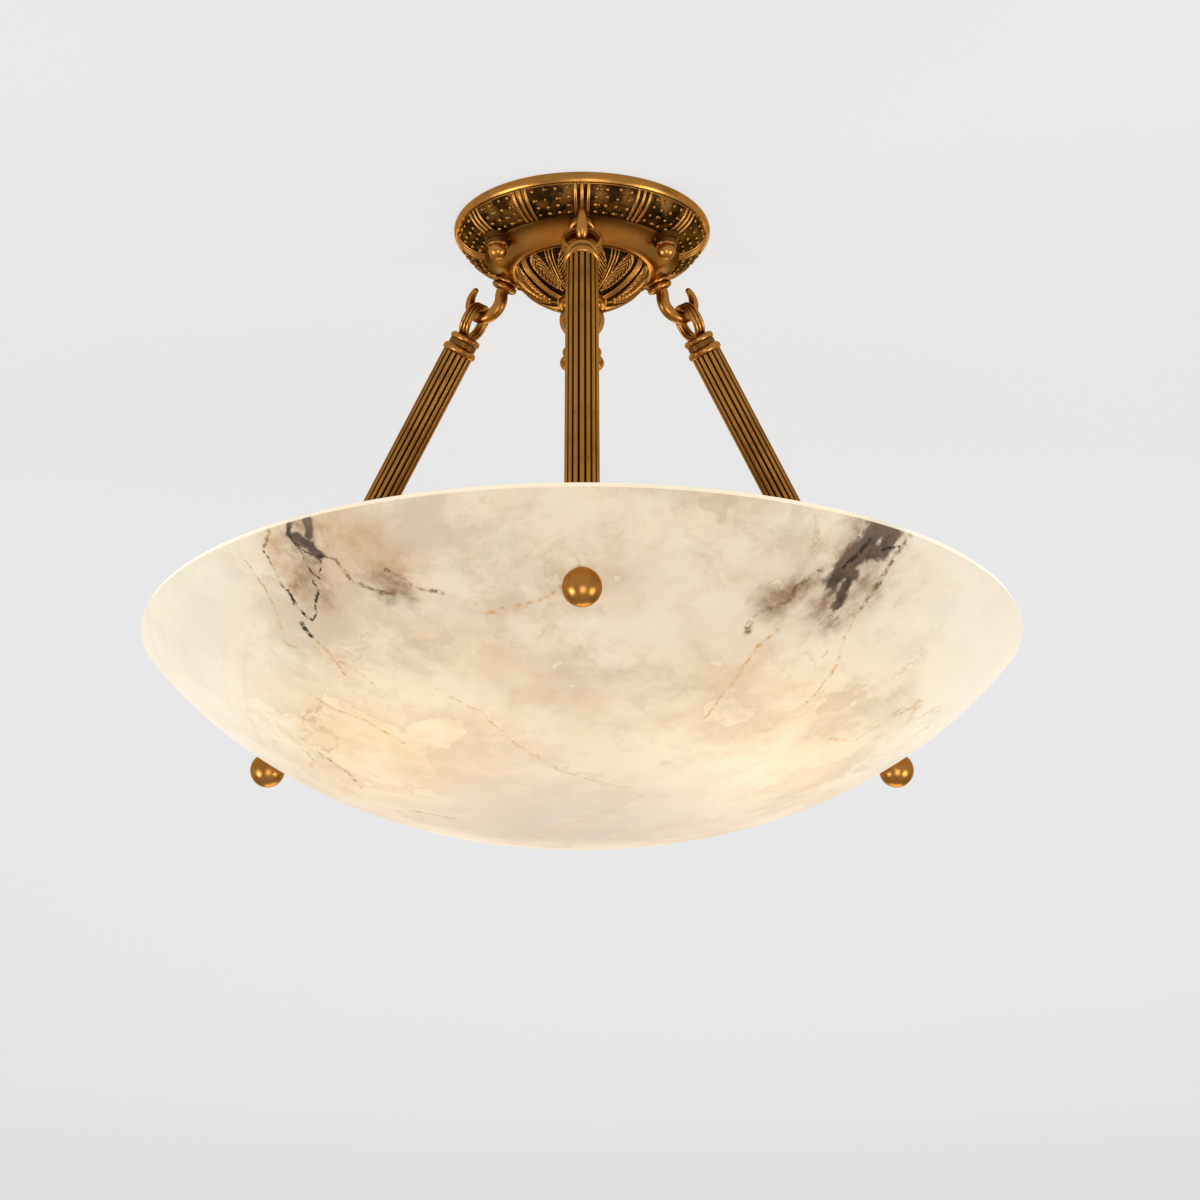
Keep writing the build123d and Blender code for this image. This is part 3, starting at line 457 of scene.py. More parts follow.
# %% Ribs
ribs_tree, ribs_in, r = new_tree(
    "canopy_ribs",
    "GeometryNodeTree",
    [
        ("Groups", "Int", 12),
        ("Ribs in group", "Int", 3),
        ("Pitch", "Float", 3.1),
        ("First angle", "Float", -90.0),
        ("Half width", "Float", 1.15 * mm),
        ("Material", "Material", None),
    ],
    [("Geometry", "Geometry")],
)
round_bar = r.node("GeometryNodeCurvePrimitiveCircle", {"Resolution": 10, "Radius": ribs_in["Half width"]})
rib_inputs = {"Curve": arc_curve(r), "Profile Curve": round_bar.outputs[0], "Fill Caps": True}
rib = r.node("GeometryNodeCurveToMesh", rib_inputs).outputs[0]
count = r.math("MULTIPLY", ribs_in["Groups"], ribs_in["Ribs in group"])
starts = r.node("GeometryNodePoints", {"Count": count}).outputs[0]
index = r.node("GeometryNodeInputIndex").outputs[0]
group = r.math("FLOOR", r.math("DIVIDE", r.math("ADD", index, 0.5), ribs_in["Ribs in group"]))
nth = r.math("SUBTRACT", index, r.math("MULTIPLY", group, ribs_in["Ribs in group"]))
middle_rib = r.math("DIVIDE", r.math("SUBTRACT", ribs_in["Ribs in group"], 1.0), 2.0)
angle = r.math("MULTIPLY", r.math("DIVIDE", 360.0, ribs_in["Groups"]), group)
angle = r.math("ADD", angle, r.math("MULTIPLY", r.math("SUBTRACT", nth, middle_rib), ribs_in["Pitch"]))
angle = r.math("RADIANS", r.math("ADD", angle, ribs_in["First angle"]))
copy_inputs = {"Points": starts, "Instance": rib, "Rotation": r.joined(0.0, 0.0, angle)}
copies = r.node("GeometryNodeInstanceOnPoints", copy_inputs).outputs[0]
close_tree(ribs_tree, {"Geometry": finished(r, copies, ribs_in["Material"])})
grown(ribs_tree, "canopy_ribs", {"Material": brass_band}, "canopy")

# %% [markdown]
# The beads were punched by hand, so they are uneven: each gets its own size and a small shift, and
# some have a smaller neighbour. A fixed seed keeps them the same on every run. The curve is sampled
# at a share of its length to find a row, and the place is then turned to the column's angle.

# %% Beads
beads_tree, beads_in, r = new_tree(
    "canopy_beads",
    "GeometryNodeTree",
    [
        ("Groups", "Int", 12),
        ("Columns", "Int", 4),
        ("Rows", "Int", 4),
        ("Margin", "Float", 6.9),
        ("First angle", "Float", -90.0),
        ("Radius", "Float", 1.2 * mm),
        ("Seed", "Int", 5),
        ("Material", "Material", None),
    ],
    [("Geometry", "Geometry")],
)


def chance(r, low, high, extra_seed):
    """A random number between two limits, fixed by the tree's seed."""
    seed = r.math("ADD", beads_in["Seed"], float(extra_seed))
    return r.node("FunctionNodeRandomValue", {2: low, 3: high, 8: seed}, data_type="FLOAT").outputs[1]


per_group = r.math("MULTIPLY", beads_in["Columns"], beads_in["Rows"])
bead_count = r.math("MULTIPLY", per_group, beads_in["Groups"])
points = r.node("GeometryNodePoints", {"Count": bead_count}).outputs[0]
index = r.node("GeometryNodeInputIndex").outputs[0]
group = r.math("FLOOR", r.math("DIVIDE", r.math("ADD", index, 0.5), per_group))
rest = r.math("SUBTRACT", index, r.math("MULTIPLY", group, per_group))
column = r.math("FLOOR", r.math("DIVIDE", r.math("ADD", rest, 0.5), beads_in["Rows"]))
row = r.math("SUBTRACT", rest, r.math("MULTIPLY", column, beads_in["Rows"]))
sector = r.math("DIVIDE", 360.0, beads_in["Groups"])
room = r.math("SUBTRACT", sector, r.math("MULTIPLY", beads_in["Margin"], 2.0))
step = r.math("DIVIDE", room, r.math("SUBTRACT", beads_in["Columns"], 1.0))
angle = r.math("ADD", r.math("MULTIPLY", sector, group), r.math("MULTIPLY", step, column))
angle = r.math("ADD", r.math("ADD", angle, beads_in["Margin"]), beads_in["First angle"])
most_turn, most_slide = 0.55, 0.02
angle = r.math("ADD", angle, chance(r, -most_turn, most_turn, 1))
share = r.math("DIVIDE", r.math("ADD", row, 0.56), r.math("ADD", beads_in["Rows"], 0.1))
share = r.math("ADD", share, chance(r, -most_slide, most_slide, 2))


def on_band(share, angle):
    """Place of a bead from its share of the arc and its angle."""
    sample = r.node("GeometryNodeSampleCurve", {"Curves": arc_curve(r), "Factor": share}, mode="FACTOR")
    turn = {"Vector": sample.outputs["Position"], "Angle": r.math("RADIANS", angle)}
    return r.node("ShaderNodeVectorRotate", turn, rotation_type="Z_AXIS").outputs[0]


def bead_row(share, angle, low, high, extra_seed, chosen=None):
    """Beads on the points, at the places given."""
    places = {"Geometry": points, "Position": on_band(share, angle)}
    moved = r.node("GeometryNodeSetPosition", places).outputs[0]
    ball_inputs = {"Segments": 10, "Rings": 6, "Radius": beads_in["Radius"]}
    ball = r.node("GeometryNodeMeshUVSphere", ball_inputs).outputs["Mesh"]
    size = chance(r, low, high, extra_seed)
    inputs = {"Points": moved, "Instance": ball, "Selection": chosen, "Scale": r.joined(size, size, size)}
    return r.node("GeometryNodeInstanceOnPoints", inputs).outputs[0]


without_neighbour = 0.72
some = r.math("GREATER_THAN", chance(r, 0.0, 1.0, 7), without_neighbour)
neighbour_angle = r.math("ADD", angle, chance(r, 1.3, 1.8, 4))
both = r.node("GeometryNodeJoinGeometry")
r.tree.links.new(bead_row(share, angle, 0.82, 1.15, 3), both.inputs[0])
r.tree.links.new(bead_row(share, neighbour_angle, 0.55, 0.8, 6, some), both.inputs[0])
close_tree(beads_tree, {"Geometry": finished(r, both.outputs[0], beads_in["Material"])})
grown(beads_tree, "canopy_beads", {"Material": brass_band}, "canopy")

# %% [markdown]
# The leaf cup is a casting with six bands of three ridges, and a feathered leaf on each side of each
# band. Such a low relief is a height over a turned surface. So the cup is a fine grid around its
# section, and every point is pushed out or in by a height worked out from its angle and its distance
# down the section. The same height, kept as an attribute, tells the material where the dark wax lies.

# %% Section of the cup
cup_low, cup_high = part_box("leaf_cup")
cup_radius, cup_top, cup_foot = cup_high.x, cup_high.z, cup_low.z
cup_drop = cup_top - cup_foot
foot_radius = 14.6 * mm


def bezier(handles, shares):
    """Points of a cubic curve, as an array of (radius, height)."""
    t = np.asarray(shares)[:, None]
    a, b, c, d = (np.array(handle) for handle in handles)
    return (1 - t) ** 3 * a + 3 * (1 - t) ** 2 * t * b + 3 * (1 - t) * t * t * c + t**3 * d


cup_handles = (
    (cup_radius, cup_top),
    (cup_radius - 1.0 * mm, cup_top - 0.42 * cup_drop),
    (0.62 * cup_radius, cup_foot + 0.06 * cup_drop),
    (foot_radius, cup_foot),
)
rings, spokes = 92, 720
outline = bezier(cup_handles, np.linspace(0, 1, rings + 1))
slope = np.gradient(outline, axis=0)
slope /= np.linalg.norm(slope, axis=1)[:, None]
outwards = np.stack([-slope[:, 1], slope[:, 0]], axis=1)
down = np.concatenate([[0], np.cumsum(np.linalg.norm(np.diff(outline, axis=0), axis=1))]) / mm
print("cup section, mm:", round(float(down[-1]), 1))

# %% Places on the cup's face, in millimetres and degrees
band_turn = 60
half_turn = band_turn // 2
turns = np.arange(spokes) * 360 / spokes
aside = np.abs((turns[None, :] + 90 + half_turn) % band_turn - half_turn)
radius = outline[:, :1] / mm
share = (down / down[-1])[:, None]
along = down[:, None]
print("points on the face:", share.size * turns.size)


def mound(distance, half, top):
    """Half-round ridge: its height at a distance from its middle."""
    return top * np.sqrt(np.clip(1 - (distance / half) ** 2, 0, 1))


def arc_length(turned):
    """Length of a turn, in degrees, on each ring of the face."""
    return turned * pi / 180 * radius


# %% [markdown]
# Each ornament is a half-round ridge over some curve, sunk a little so that its sides meet the
# ground steeply. Where two overlap the higher one wins, as if both were laid on with a tool. A leaf
# is wide in its middle and pointed at both ends, its veins run slanting from the midrib, and its
# outer edge is scalloped.

# %% Bands of three ridges
cup_ground = -0.7
relief = np.full((rings + 1, spokes), cup_ground)
spacing = 1.85 - 0.65 * share
ridge_half, ridge_top, ridge_sunk = 0.30 * spacing, 1.2, 0.65
band = arc_length(aside)
for line in (0, 1):
    relief = np.maximum(relief, mound(band - line * spacing, ridge_half, ridge_top) - ridge_sunk)
print("ridges apart, mm:", round(float(spacing.max()), 2), "to", round(float(spacing.min()), 2))

# %% Leaves
leaf_end, edge_end = 0.82, 0.84
leaf_share = np.clip(share / leaf_end, 0, 1)
midrib = 13.2 + 9.5 * leaf_share**1.2
across = arc_length(aside - midrib)
leaf_half = 3.9 * np.sin(pi * leaf_share**0.72) ** 0.55 + 0.02
scallop_length, scallop_depth = 3.4, 0.22
scallop = ((along - 0.35 * across) / scallop_length) % 1.0
outer_half = leaf_half * (1 + np.where(across > 0, scallop_depth * scallop, 0.0))
inside = np.clip(1 - (across / outer_half) ** 2, 0, 1)
vein_period, leaf_ground, vein_height = 1.7, -0.65, 0.95
slanting = 0.85 * np.abs(across) - 0.55 * along
veins = (0.5 + 0.5 * np.cos(2 * pi * slanting / vein_period)) ** 1.3
leaf = leaf_ground + 0.2 * np.sqrt(inside) + vein_height * veins * np.minimum(1, 3 * inside)
in_leaf = (inside > 0) & (share < leaf_end)
relief = np.where(in_leaf, np.maximum(relief, leaf), relief)
edge_half, edge_top, edge_sunk = 0.46, 0.95, 0.5
edge = mound(np.abs(across) - outer_half, edge_half, edge_top) - edge_sunk
relief = np.where(share < edge_end, np.maximum(relief, edge), relief)
print("share of the face in leaves:", round(float(in_leaf.mean()), 2))

# %% Stems and seeds between the leaves
between = arc_length(half_turn - aside)
stem_half, stem_top, stem_sunk = 0.5, 0.9, 0.5
relief = np.maximum(relief, mound(between, stem_half, stem_top) - stem_sunk)
feather_end = 0.7
feather = mound(between - 2.1 * (1 - share) - 0.4, 0.45, 0.7) - 0.55
relief = np.where(share < feather_end, np.maximum(relief, feather), relief)
seed_turn, seed_share, seed_half, seed_top = 22.5, 0.86, 0.95, 1.1
seed = np.hypot(arc_length(aside - seed_turn), along - seed_share * down[-1])
relief = np.maximum(relief, mound(seed, seed_half, seed_top) - stem_sunk)
print("share that stands out:", round(float((relief > 0).mean()), 2))

# %% Level ends, and the depth of the wax
level_top, level_foot = 0.02, 0.03
relief *= np.clip(share / level_top, 0, 1) * np.clip((1 - share) / level_foot, 0, 1)
wax_surface, wax_fade = 0.05, 0.35
recess = np.clip((wax_surface - relief) / wax_fade, 0, 1)
print("relief, mm:", round(float(relief.min()), 2), round(float(relief.max()), 2))


# %% Leaf cup mesh
def closed_rings(name, sections, wax_depth):
    """A ring-shaped solid from rows of points; the last row joins the first."""
    count, width = sections.shape[:2]
    row = np.arange(count)[:, None] * width
    next_row = np.roll(row, -1, axis=0)
    column = np.arange(width)[None, :]
    next_column = np.roll(column, -1, axis=1)
    square = [row + column, row + next_column, next_row + next_column, next_row + column]
    faces = np.stack(square, axis=-1).reshape(-1, 4)
    points = sections.reshape(-1, 3)
    corners = points[faces]
    volume = np.einsum("ij,ij->i", corners[:, 0], np.cross(corners[:, 1], corners[:, 2])).sum()
    volume += np.einsum("ij,ij->i", corners[:, 0], np.cross(corners[:, 2], corners[:, 3])).sum()
    if volume < 0:
        faces = faces[:, ::-1]
    mesh = bpy.data.meshes.new(name)
    mesh.from_pydata(points.tolist(), [], faces.tolist())
    mesh.shade_smooth()
    depth = mesh.attributes.new("wax_depth", "FLOAT", "POINT")
    depth.data.foreach_set("value", wax_depth.ravel().astype(np.float32))
    piece = bpy.data.objects.new(name, mesh)
    bpy.context.collection.objects.link(piece)
    print(name, "faces:", len(mesh.polygons))
    return piece


shell = outline[:, None, :] + outwards[:, None, :] * relief[:, :, None] * mm
bore_radius, cup_floor, cup_wall, hairline = 6 * mm, cup_foot + 2 * mm, 4.5 * mm, 0.1 * mm
inner_handles = (
    (foot_radius - 0.6 * mm, cup_floor),
    (0.56 * cup_radius, cup_foot + 3.5 * mm),
    (cup_radius - cup_wall, cup_top - 0.4 * cup_drop),
    (cup_radius - cup_wall, cup_top),
)
inner_face = bezier(inner_handles, np.linspace(0, 1, 9))
wall = np.array(
    [(foot_radius - hairline, cup_foot), (bore_radius, cup_foot), (bore_radius, cup_floor)]
    + [tuple(point) for point in inner_face]
    + [(cup_radius - hairline, cup_top)]
)
shell = np.concatenate([shell, np.repeat(wall[:, None, :], spokes, axis=1)])
turn = np.radians(turns)[None, :]
sections = np.stack([shell[..., 0] * np.cos(turn), shell[..., 0] * np.sin(turn), shell[..., 1]], axis=-1)
wax_depth = np.concatenate([recess, np.zeros((len(wall), spokes))])
leaf_cup = closed_rings("leaf_cup_carved", sections, wax_depth)


def cup_mask(r, place):
    """Wax depth that was kept with the mesh."""
    return r.node("ShaderNodeAttribute", attribute_name="wax_depth").outputs["Fac"]


leaf_cup.data.materials.append(brass_material("brass_leaf_cup", cup_mask, 0.25))
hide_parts("leaf_cup")
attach(leaf_cup, "canopy")

# %% [markdown]
# Alabaster is translucent: the lamps inside make the whole wall glow. A real volume would be slow
# and would not survive an export, so the glow is emission coloured by the same veins as the
# surface. The stone's marks lie where the block's cracks let iron and clay in: charcoal patches at
# both sides of the rim, ink-thin cracks, and chains of rust. Each is a stroke on the bowl's face,
# given in plan in millimetres, and its height comes from the bowl's own section.

# %% Strokes on the bowl's outer face
bowl_low, bowl_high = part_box("alabaster_bowl")
bowl_radius, bowl_bottom, lip_height = bowl_high.x, bowl_low.z, 2.6 * mm
arris = bowl_high.z - lip_height
bowl_handles = (
    (0.0, bowl_bottom),
    (0.655 * bowl_radius, bowl_bottom),
    (0.94 * bowl_radius, arris - 0.172 * (arris - bowl_bottom)),
    (bowl_radius, arris),
)
face = bezier(bowl_handles, np.linspace(0, 1, 400))


def on_bowl(x, y):
    """Point of the bowl's outer face over a place in plan, given in millimetres."""
    out = float(np.hypot(x, y)) * mm
    return Vector((x * mm, y * mm, float(np.interp(out, face[:, 0], face[:, 1]))))


stroke_sockets = [("Place", "Vector", None), ("Start", "Vector", None), ("Span", "Vector", None)]
stroke_sockets.append(("Half width", "Float", mm))
stroke, stroke_in, r = new_tree("stone_stroke", "ShaderNodeTree", stroke_sockets, [("Core", "Float")])
offset = r.vector("SUBTRACT", stroke_in["Place"], stroke_in["Start"])
span_square = r.vector("DOT_PRODUCT", stroke_in["Span"], stroke_in["Span"])
share = r.math("DIVIDE", r.vector("DOT_PRODUCT", offset, stroke_in["Span"]), span_square)
share = r.math("MINIMUM", r.math("MAXIMUM", share, 0.0), 1.0)
away = r.vector("LENGTH", r.vector("SUBTRACT", offset, r.scaled(stroke_in["Span"], share)))
close_tree(stroke, {"Core": r.math("SUBTRACT", 1.0, r.math("DIVIDE", away, stroke_in["Half width"]))})


def strokes(r, place, lines):
    """How deep a point lies in any of the strokes: 1 on a middle line, 0 at an edge."""
    deepest = None
    for half, points in lines:
        corners = [on_bowl(*point) for point in points]
        for start, end in zip(corners, corners[1:]):
            line = {"Place": place, "Start": tuple(start), "Span": tuple(end - start)}
            line["Half width"] = half * mm
            core = r.node("ShaderNodeGroup", line, node_tree=stroke).outputs[0]
            deepest = core if deepest is None else r.math("MAXIMUM", deepest, core)
    return deepest


# %% The marks, as half width and plan points, in millimetres
charcoal_marks = [
    (2.8, [(-152, -198), (-152, -194), (-148, -193)]),
    (3.4, [(-142, -205), (-141, -202), (-142, -198)]),
    (4.8, [(-148, -195), (-144, -195), (-139, -194), (-136, -192)]),
    (10.0, [(155, -196), (147, -190), (138, -187), (131, -183)]),
    (7.5, [(162, -190), (157, -183), (148, -187)]),
    (5.5, [(141, -181), (135, -174), (134, -169)]),
]
ink_marks = [
    (0.9, [(-147, -192), (-144, -186), (-140, -182), (-136, -181)]),
    (0.9, [(-136, -192), (-135, -188), (-137, -183)]),
    (1.0, [(-141, -179), (-137, -175), (-139, -168), (-139, -162), (-142, -156)]),
    (1.1, [(-166, -178), (-164, -176)]),
    (1.4, [(-154, -165), (-150, -160), (-147, -157), (-142, -156)]),
    (1.9, [(-148, -150), (-142, -146)]),
    (1.3, [(157, -184), (166, -180)]),
    (0.9, [(-153, -199), (-153, -194), (-148, -191), (-141, -191), (-136, -190)]),
    (1.6, [(150, -193), (144, -190), (136, -187)]),
]
umber_marks = [
    (1.6, [(-163, -189), (-166, -179)]),
    (1.1, [(-164, -176), (-156, -165), (-150, -159)]),
    (1.6, [(-135, -192), (-128, -195), (-119, -188)]),
    (2.0, [(-117, -188), (-104, -189), (-98, -190)]),
    (1.8, [(-101, -201), (-94, -201), (-86, -197), (-71, -198)]),
    (1.8, [(-141, -34), (-129, -23), (-123, -1)]),
    (1.4, [(-96, 13), (-73, 11)]),
    (2.4, [(124, -192), (111, -189), (107, -183), (97, -183)]),
    (1.0, [(97, -183), (88, -181)]),
    (3.0, [(87, -179), (86, -174)]),
    (2.6, [(172, -181), (164, -177), (156, -169), (147, -160)]),
    (1.0, [(136, -167), (136, -163), (133, -161)]),
]
honey_marks = [
    (1.5, [(-142, -146), (-134, -140), (-124, -127)]),
    (1.5, [(-133, -138), (-119, -135), (-111, -130)]),
    (1.3, [(-177, -166), (-168, -159), (-161, -148), (-158, -131), (-151, -132)]),
    (1.6, [(-147, -100), (-134, -96), (-116, -97), (-96, -84)]),
    (1.4, [(-28, 12), (-3, -4), (16, -23), (32, -43)]),
    (1.4, [(-77, -139), (-54, -128), (-36, -105), (-12, -78), (25, -56)]),
    (2.2, [(-48, -193), (-26, -201), (-10, -210)]),
    (1.6, [(144, -159), (139, -148), (135, -129), (120, -109)]),
    (1.6, [(102, -169), (91, -162), (81, -147), (66, -120)]),
    (1.4, [(176, -60), (150, -48), (131, -70)]),
    (1.4, [(-60, 150), (-20, 172), (30, 160)]),
]
haze_marks = [
    (32.0, [(152, -190), (136, -183), (135, -170)]),
    (17.0, [(120, -190), (98, -184)]),
    (15.0, [(-104, -195), (-95, -192)]),
    (21.0, [(-146, -196), (-141, -176)]),
]
tan_marks = [
    (24.0, [(-129, -207), (-111, -208), (-94, -203)]),
    (15.0, [(-150, -170), (-163, -186)]),
]
marks = {
    "charcoal": charcoal_marks,
    "ink": ink_marks,
    "umber": umber_marks,
    "honey": honey_marks,
    "haze": haze_marks,
    "tan": tan_marks,
}
print({name: len(lines) for name, lines in marks.items()})

# %% [markdown]
# The ground of the stone is cream with cloud banks. A bank has one crisp edge, where the block grew
# in layers, and fades slowly on the other side. The sawtooth left by taking only the fraction of a
# noise has just that shape. Threads of rust run where a second noise crosses its middle value.

# %% Ground of the stone
stone, stone_shader, r = new_material("alabaster")
place = r.place()
warped = r.shifted(place, 12.0, 0.05, 5.0)
cream, oat, mist = colour(1.0, 0.86, 0.67), colour(0.90, 0.68, 0.44), colour(0.70, 0.57, 0.42)
fawn, sand, bottom_shade_tint = colour(0.72, 0.54, 0.37), colour(0.76, 0.55, 0.36), colour(0.82, 0.60, 0.38)
flank_light_tint, rust, white = colour(1.0, 0.95, 0.85), colour(0.62, 0.33, 0.12), colour(1.0, 0.97, 0.9)
tone = r.noise(warped, 8.0, 7.0, 0.62)
surface = r.mix(r.ease(tone, 0.43, 0.66, 0.0, 0.95), cream, oat)
veil = r.noise(r.vector("MULTIPLY", warped, (1.0, 1.5, 2.2)), 10.0, 8.0, 0.66)
surface = r.mix(r.ease(veil, 0.46, 0.63, 0.0, 0.75), surface, mist)
layers = r.math("FRACT", r.math("MULTIPLY", r.noise(r.shifted(place, 30.0, 0.03), 4.5, 5.0, 0.6), 7.0))
bank = r.math("POWER", layers, 2.5)
mottle = r.noise(r.shifted(place, 40.0, 0.02), 38.0, 8.0, 0.7)
surface = r.mix(r.math("MULTIPLY", bank, 0.5), surface, fawn)
surface = r.mix(r.ease(mottle, 0.50, 0.66, 0.0, 0.4), surface, sand)

# %% Painted light on the flanks, painted shade at the bottom, and threads of rust
x, y, z = r.split(place)
# Painted light: the bowl's left and right sides are made whiter, with faint slanting streaks in it.
flank = r.ease(r.math("ABSOLUTE", x), 0.13, 0.215)
slanting = r.vector("DOT_PRODUCT", place, (0.5, -0.2, -1.0))
slant = r.noise(r.joined(r.math("MULTIPLY", slanting, 9.0), r.math("MULTIPLY", x, 1.2), 0.0), 14.0, 4.0)
flank_painted_light = r.mix(r.ease(slant, 0.5, 0.75, 0.0, 0.4), flank_light_tint, oat)
surface = r.mix(r.math("MULTIPLY", flank, 0.75), surface, flank_painted_light)

out = r.vector("LENGTH", r.joined(x, y, 0.0))
# Painted shade: the bottom, under the lamps' cluster, is tinted a darker honey tan.
surface = r.mix(r.ease(out, 0.03, 0.16, 0.6, 0.0), surface, bottom_shade_tint)
thread = r.math("ABSOLUTE", r.math("SUBTRACT", r.noise(warped, 6.0, 7.0, 0.6), 0.5))
thread = r.ease(thread, 0.0, 0.009, 1.0, 0.0)
shown = r.ease(r.noise(place, 11.0, 3.0), 0.5, 0.68, 0.0, 0.6)
surface = r.mix(r.math("MULTIPLY", thread, shown), surface, rust)
print("stone ground:", len(r.tree.nodes), "nodes")

# %% [markdown]
# The marks go over the ground, from the widest and palest to the thinnest and darkest. Wide ones
# read a place that wanders a long way, and thin ones a place that only trembles, so cracks stay thin.
# Another noise breaks each mark up: rust sits in dots, and charcoal has pale islands in it.

# %% Marks over the ground
wandering = r.shifted(place, 55.0, 0.022, 6.0)
trembling = r.shifted(r.shifted(place, 110.0, 0.005, 4.0), 420.0, 0.0016, 2.0)
grain = r.noise(place, 260.0, 4.0, 0.65)
lumps = r.noise(r.shifted(place, 90.0, 0.01), 75.0, 6.0, 0.68)


def laid(name, place, fray, low, high, strength, broken, tint):
    """Lays one kind of mark over the surface: fray tears its edge, and broken is a mask of gaps."""
    torn = r.math("MULTIPLY", r.math("SUBTRACT", lumps, 0.5), fray)
    core = r.ease(r.math("ADD", strokes(r, place, marks[name]), torn), low, high, 0.0, strength)
    return r.mix(r.math("MULTIPLY", core, broken), surface, tint)


smoky = r.mix(r.ease(lumps, 0.36, 0.56), colour(0.024, 0.013, 0.007), colour(0.16, 0.092, 0.052))
rust_dots = r.ease(grain, 0.46, 0.62, 0.12, 1.0)
rust_lumps = r.ease(grain, 0.42, 0.60, 0.12, 1.0)
clouded = r.ease(lumps, 0.3, 0.7, 0.4, 1.0)
surface = laid("tan", wandering, 0.8, 0.0, 1.1, 0.85, clouded, colour(0.66, 0.40, 0.20))
surface = laid("haze", wandering, 0.9, 0.0, 1.0, 0.9, clouded, colour(0.28, 0.165, 0.085))
surface = laid("honey", trembling, 0.5, 0.0, 0.7, 0.8, rust_dots, colour(0.70, 0.36, 0.11))
surface = laid("umber", trembling, 0.9, 0.0, 0.8, 0.9, rust_lumps, colour(0.24, 0.11, 0.036))
surface = laid("charcoal", trembling, 2.4, 0.0, 0.55, 0.95, r.ease(lumps, 0.26, 0.34, 0.3, 1.0), smoky)
ink_gaps = r.ease(grain, 0.40, 0.52, 0.15, 1.0)
surface = laid("ink", trembling, 1.8, 0.0, 0.5, 0.95, ink_gaps, colour(0.028, 0.014, 0.008))
print("stone with marks:", len(r.tree.nodes), "nodes")

# %% [markdown]
# The face reflects a little over two fifths of the stone's colour, and the rest of its brightness is
# the light that comes through. That light is warmer and stronger near the three lamps, and weaker in
# the shadow of their cluster. A painted highlight, a bright line, runs along the sharp upper edge of the rim.

# %% Light through the stone
# Painted highlight: a bright white line along the rim's sharp upper edge, in the stone's colour and in its light.
rim_highlight = r.ease(z, arris - 0.3 * mm, arris + 0.2 * mm)
surface = r.mix(r.math("MULTIPLY", rim_highlight, 0.75), surface, white)
lamp_out, lamp_height, near_lamp = 95 * mm, -310 * mm, 0.26
glow = None
for angle in between_angles.values():
    away = r.vector("DISTANCE", place, tuple(around(angle, lamp_out, lamp_height)))
    near = r.ease(away, 0.02, 0.15, near_lamp, 0.0)
    glow = near if glow is None else r.math("ADD", glow, near)
through_middle, through_flank, under_cluster, at_edge = 0.46, 0.55, -0.26, 0.35
shade = r.ease(out, 0.02, 0.14, under_cluster, 0.0)
through = r.math("ADD", glow, r.ease(flank, 0.0, 1.0, through_middle, through_flank))
glow = r.math("ADD", through, r.math("ADD", shade, r.math("MULTIPLY", rim_highlight, at_edge)))
light = r.mix(1.0, surface, r.joined(glow, glow, glow), blend="MULTIPLY")
cool_light, warm_light = colour(1.0, 0.97, 0.92), colour(1.0, 0.92, 0.74)
warm = r.mix(r.ease(glow, 0.36, 0.66), cool_light, warm_light)
light = r.mix(1.0, light, warm, blend="MULTIPLY")
face_share = 0.43
face_tone = r.mix(1.0, surface, colour(face_share, face_share, face_share), blend="MULTIPLY")
r.tree.links.new(face_tone, stone_shader.inputs["Base Color"])
r.tree.links.new(light, stone_shader.inputs["Emission Color"])
stone_bump = {"Strength": 0.05, "Distance": 0.0005, "Height": r.noise(place, 90.0, 2.0)}
r.tree.links.new(r.node("ShaderNodeBump", stone_bump).outputs[0], stone_shader.inputs["Normal"])
stone_shader.inputs["Emission Strength"].default_value = 1.0
stone_shader.inputs["Roughness"].default_value = 0.34
stone_shader.inputs["Specular IOR Level"].default_value = 0.22
print("stone with its light:", len(r.tree.nodes), "nodes")

# %% [markdown]
# The hidden hardware gets simple but real finishes: zinc plated steel, glazed porcelain, rubber,
# and the frosted lamps that light the bowl. Each varies a little in tone and gloss, because no
# made surface is even.

# %% Other finishes
def plain_material(name, base, metallic=0.0, roughness=0.4, grain=90.0, spread=0.15):
    """A finish with slight variation of tone and roughness."""
    made, shader, r = new_material(name)
    vary = r.noise(r.place(), grain, 4.0)
    darker = tuple(channel * (1 - spread) for channel in base)
    r.tree.links.new(r.mix(vary, colour(*base), colour(*darker)), shader.inputs["Base Color"])
    r.tree.links.new(r.ease(vary, 0.2, 0.8, roughness * 0.8, roughness * 1.2), shader.inputs["Roughness"])
    shader.inputs["Metallic"].default_value = metallic
    return made


lamp_glass, shader, r = new_material("lamp_glass")
frost = r.noise(r.place(), 200.0, 2.0)
frosted = r.mix(frost, colour(1.0, 0.95, 0.85), colour(0.95, 0.88, 0.76))
glowing = r.mix(frost, colour(1.0, 0.86, 0.62), colour(1.0, 0.82, 0.56))
r.tree.links.new(frosted, shader.inputs["Base Color"])
r.tree.links.new(glowing, shader.inputs["Emission Color"])
shader.inputs["Emission Strength"].default_value = 0.8
shader.inputs["Roughness"].default_value = 0.35

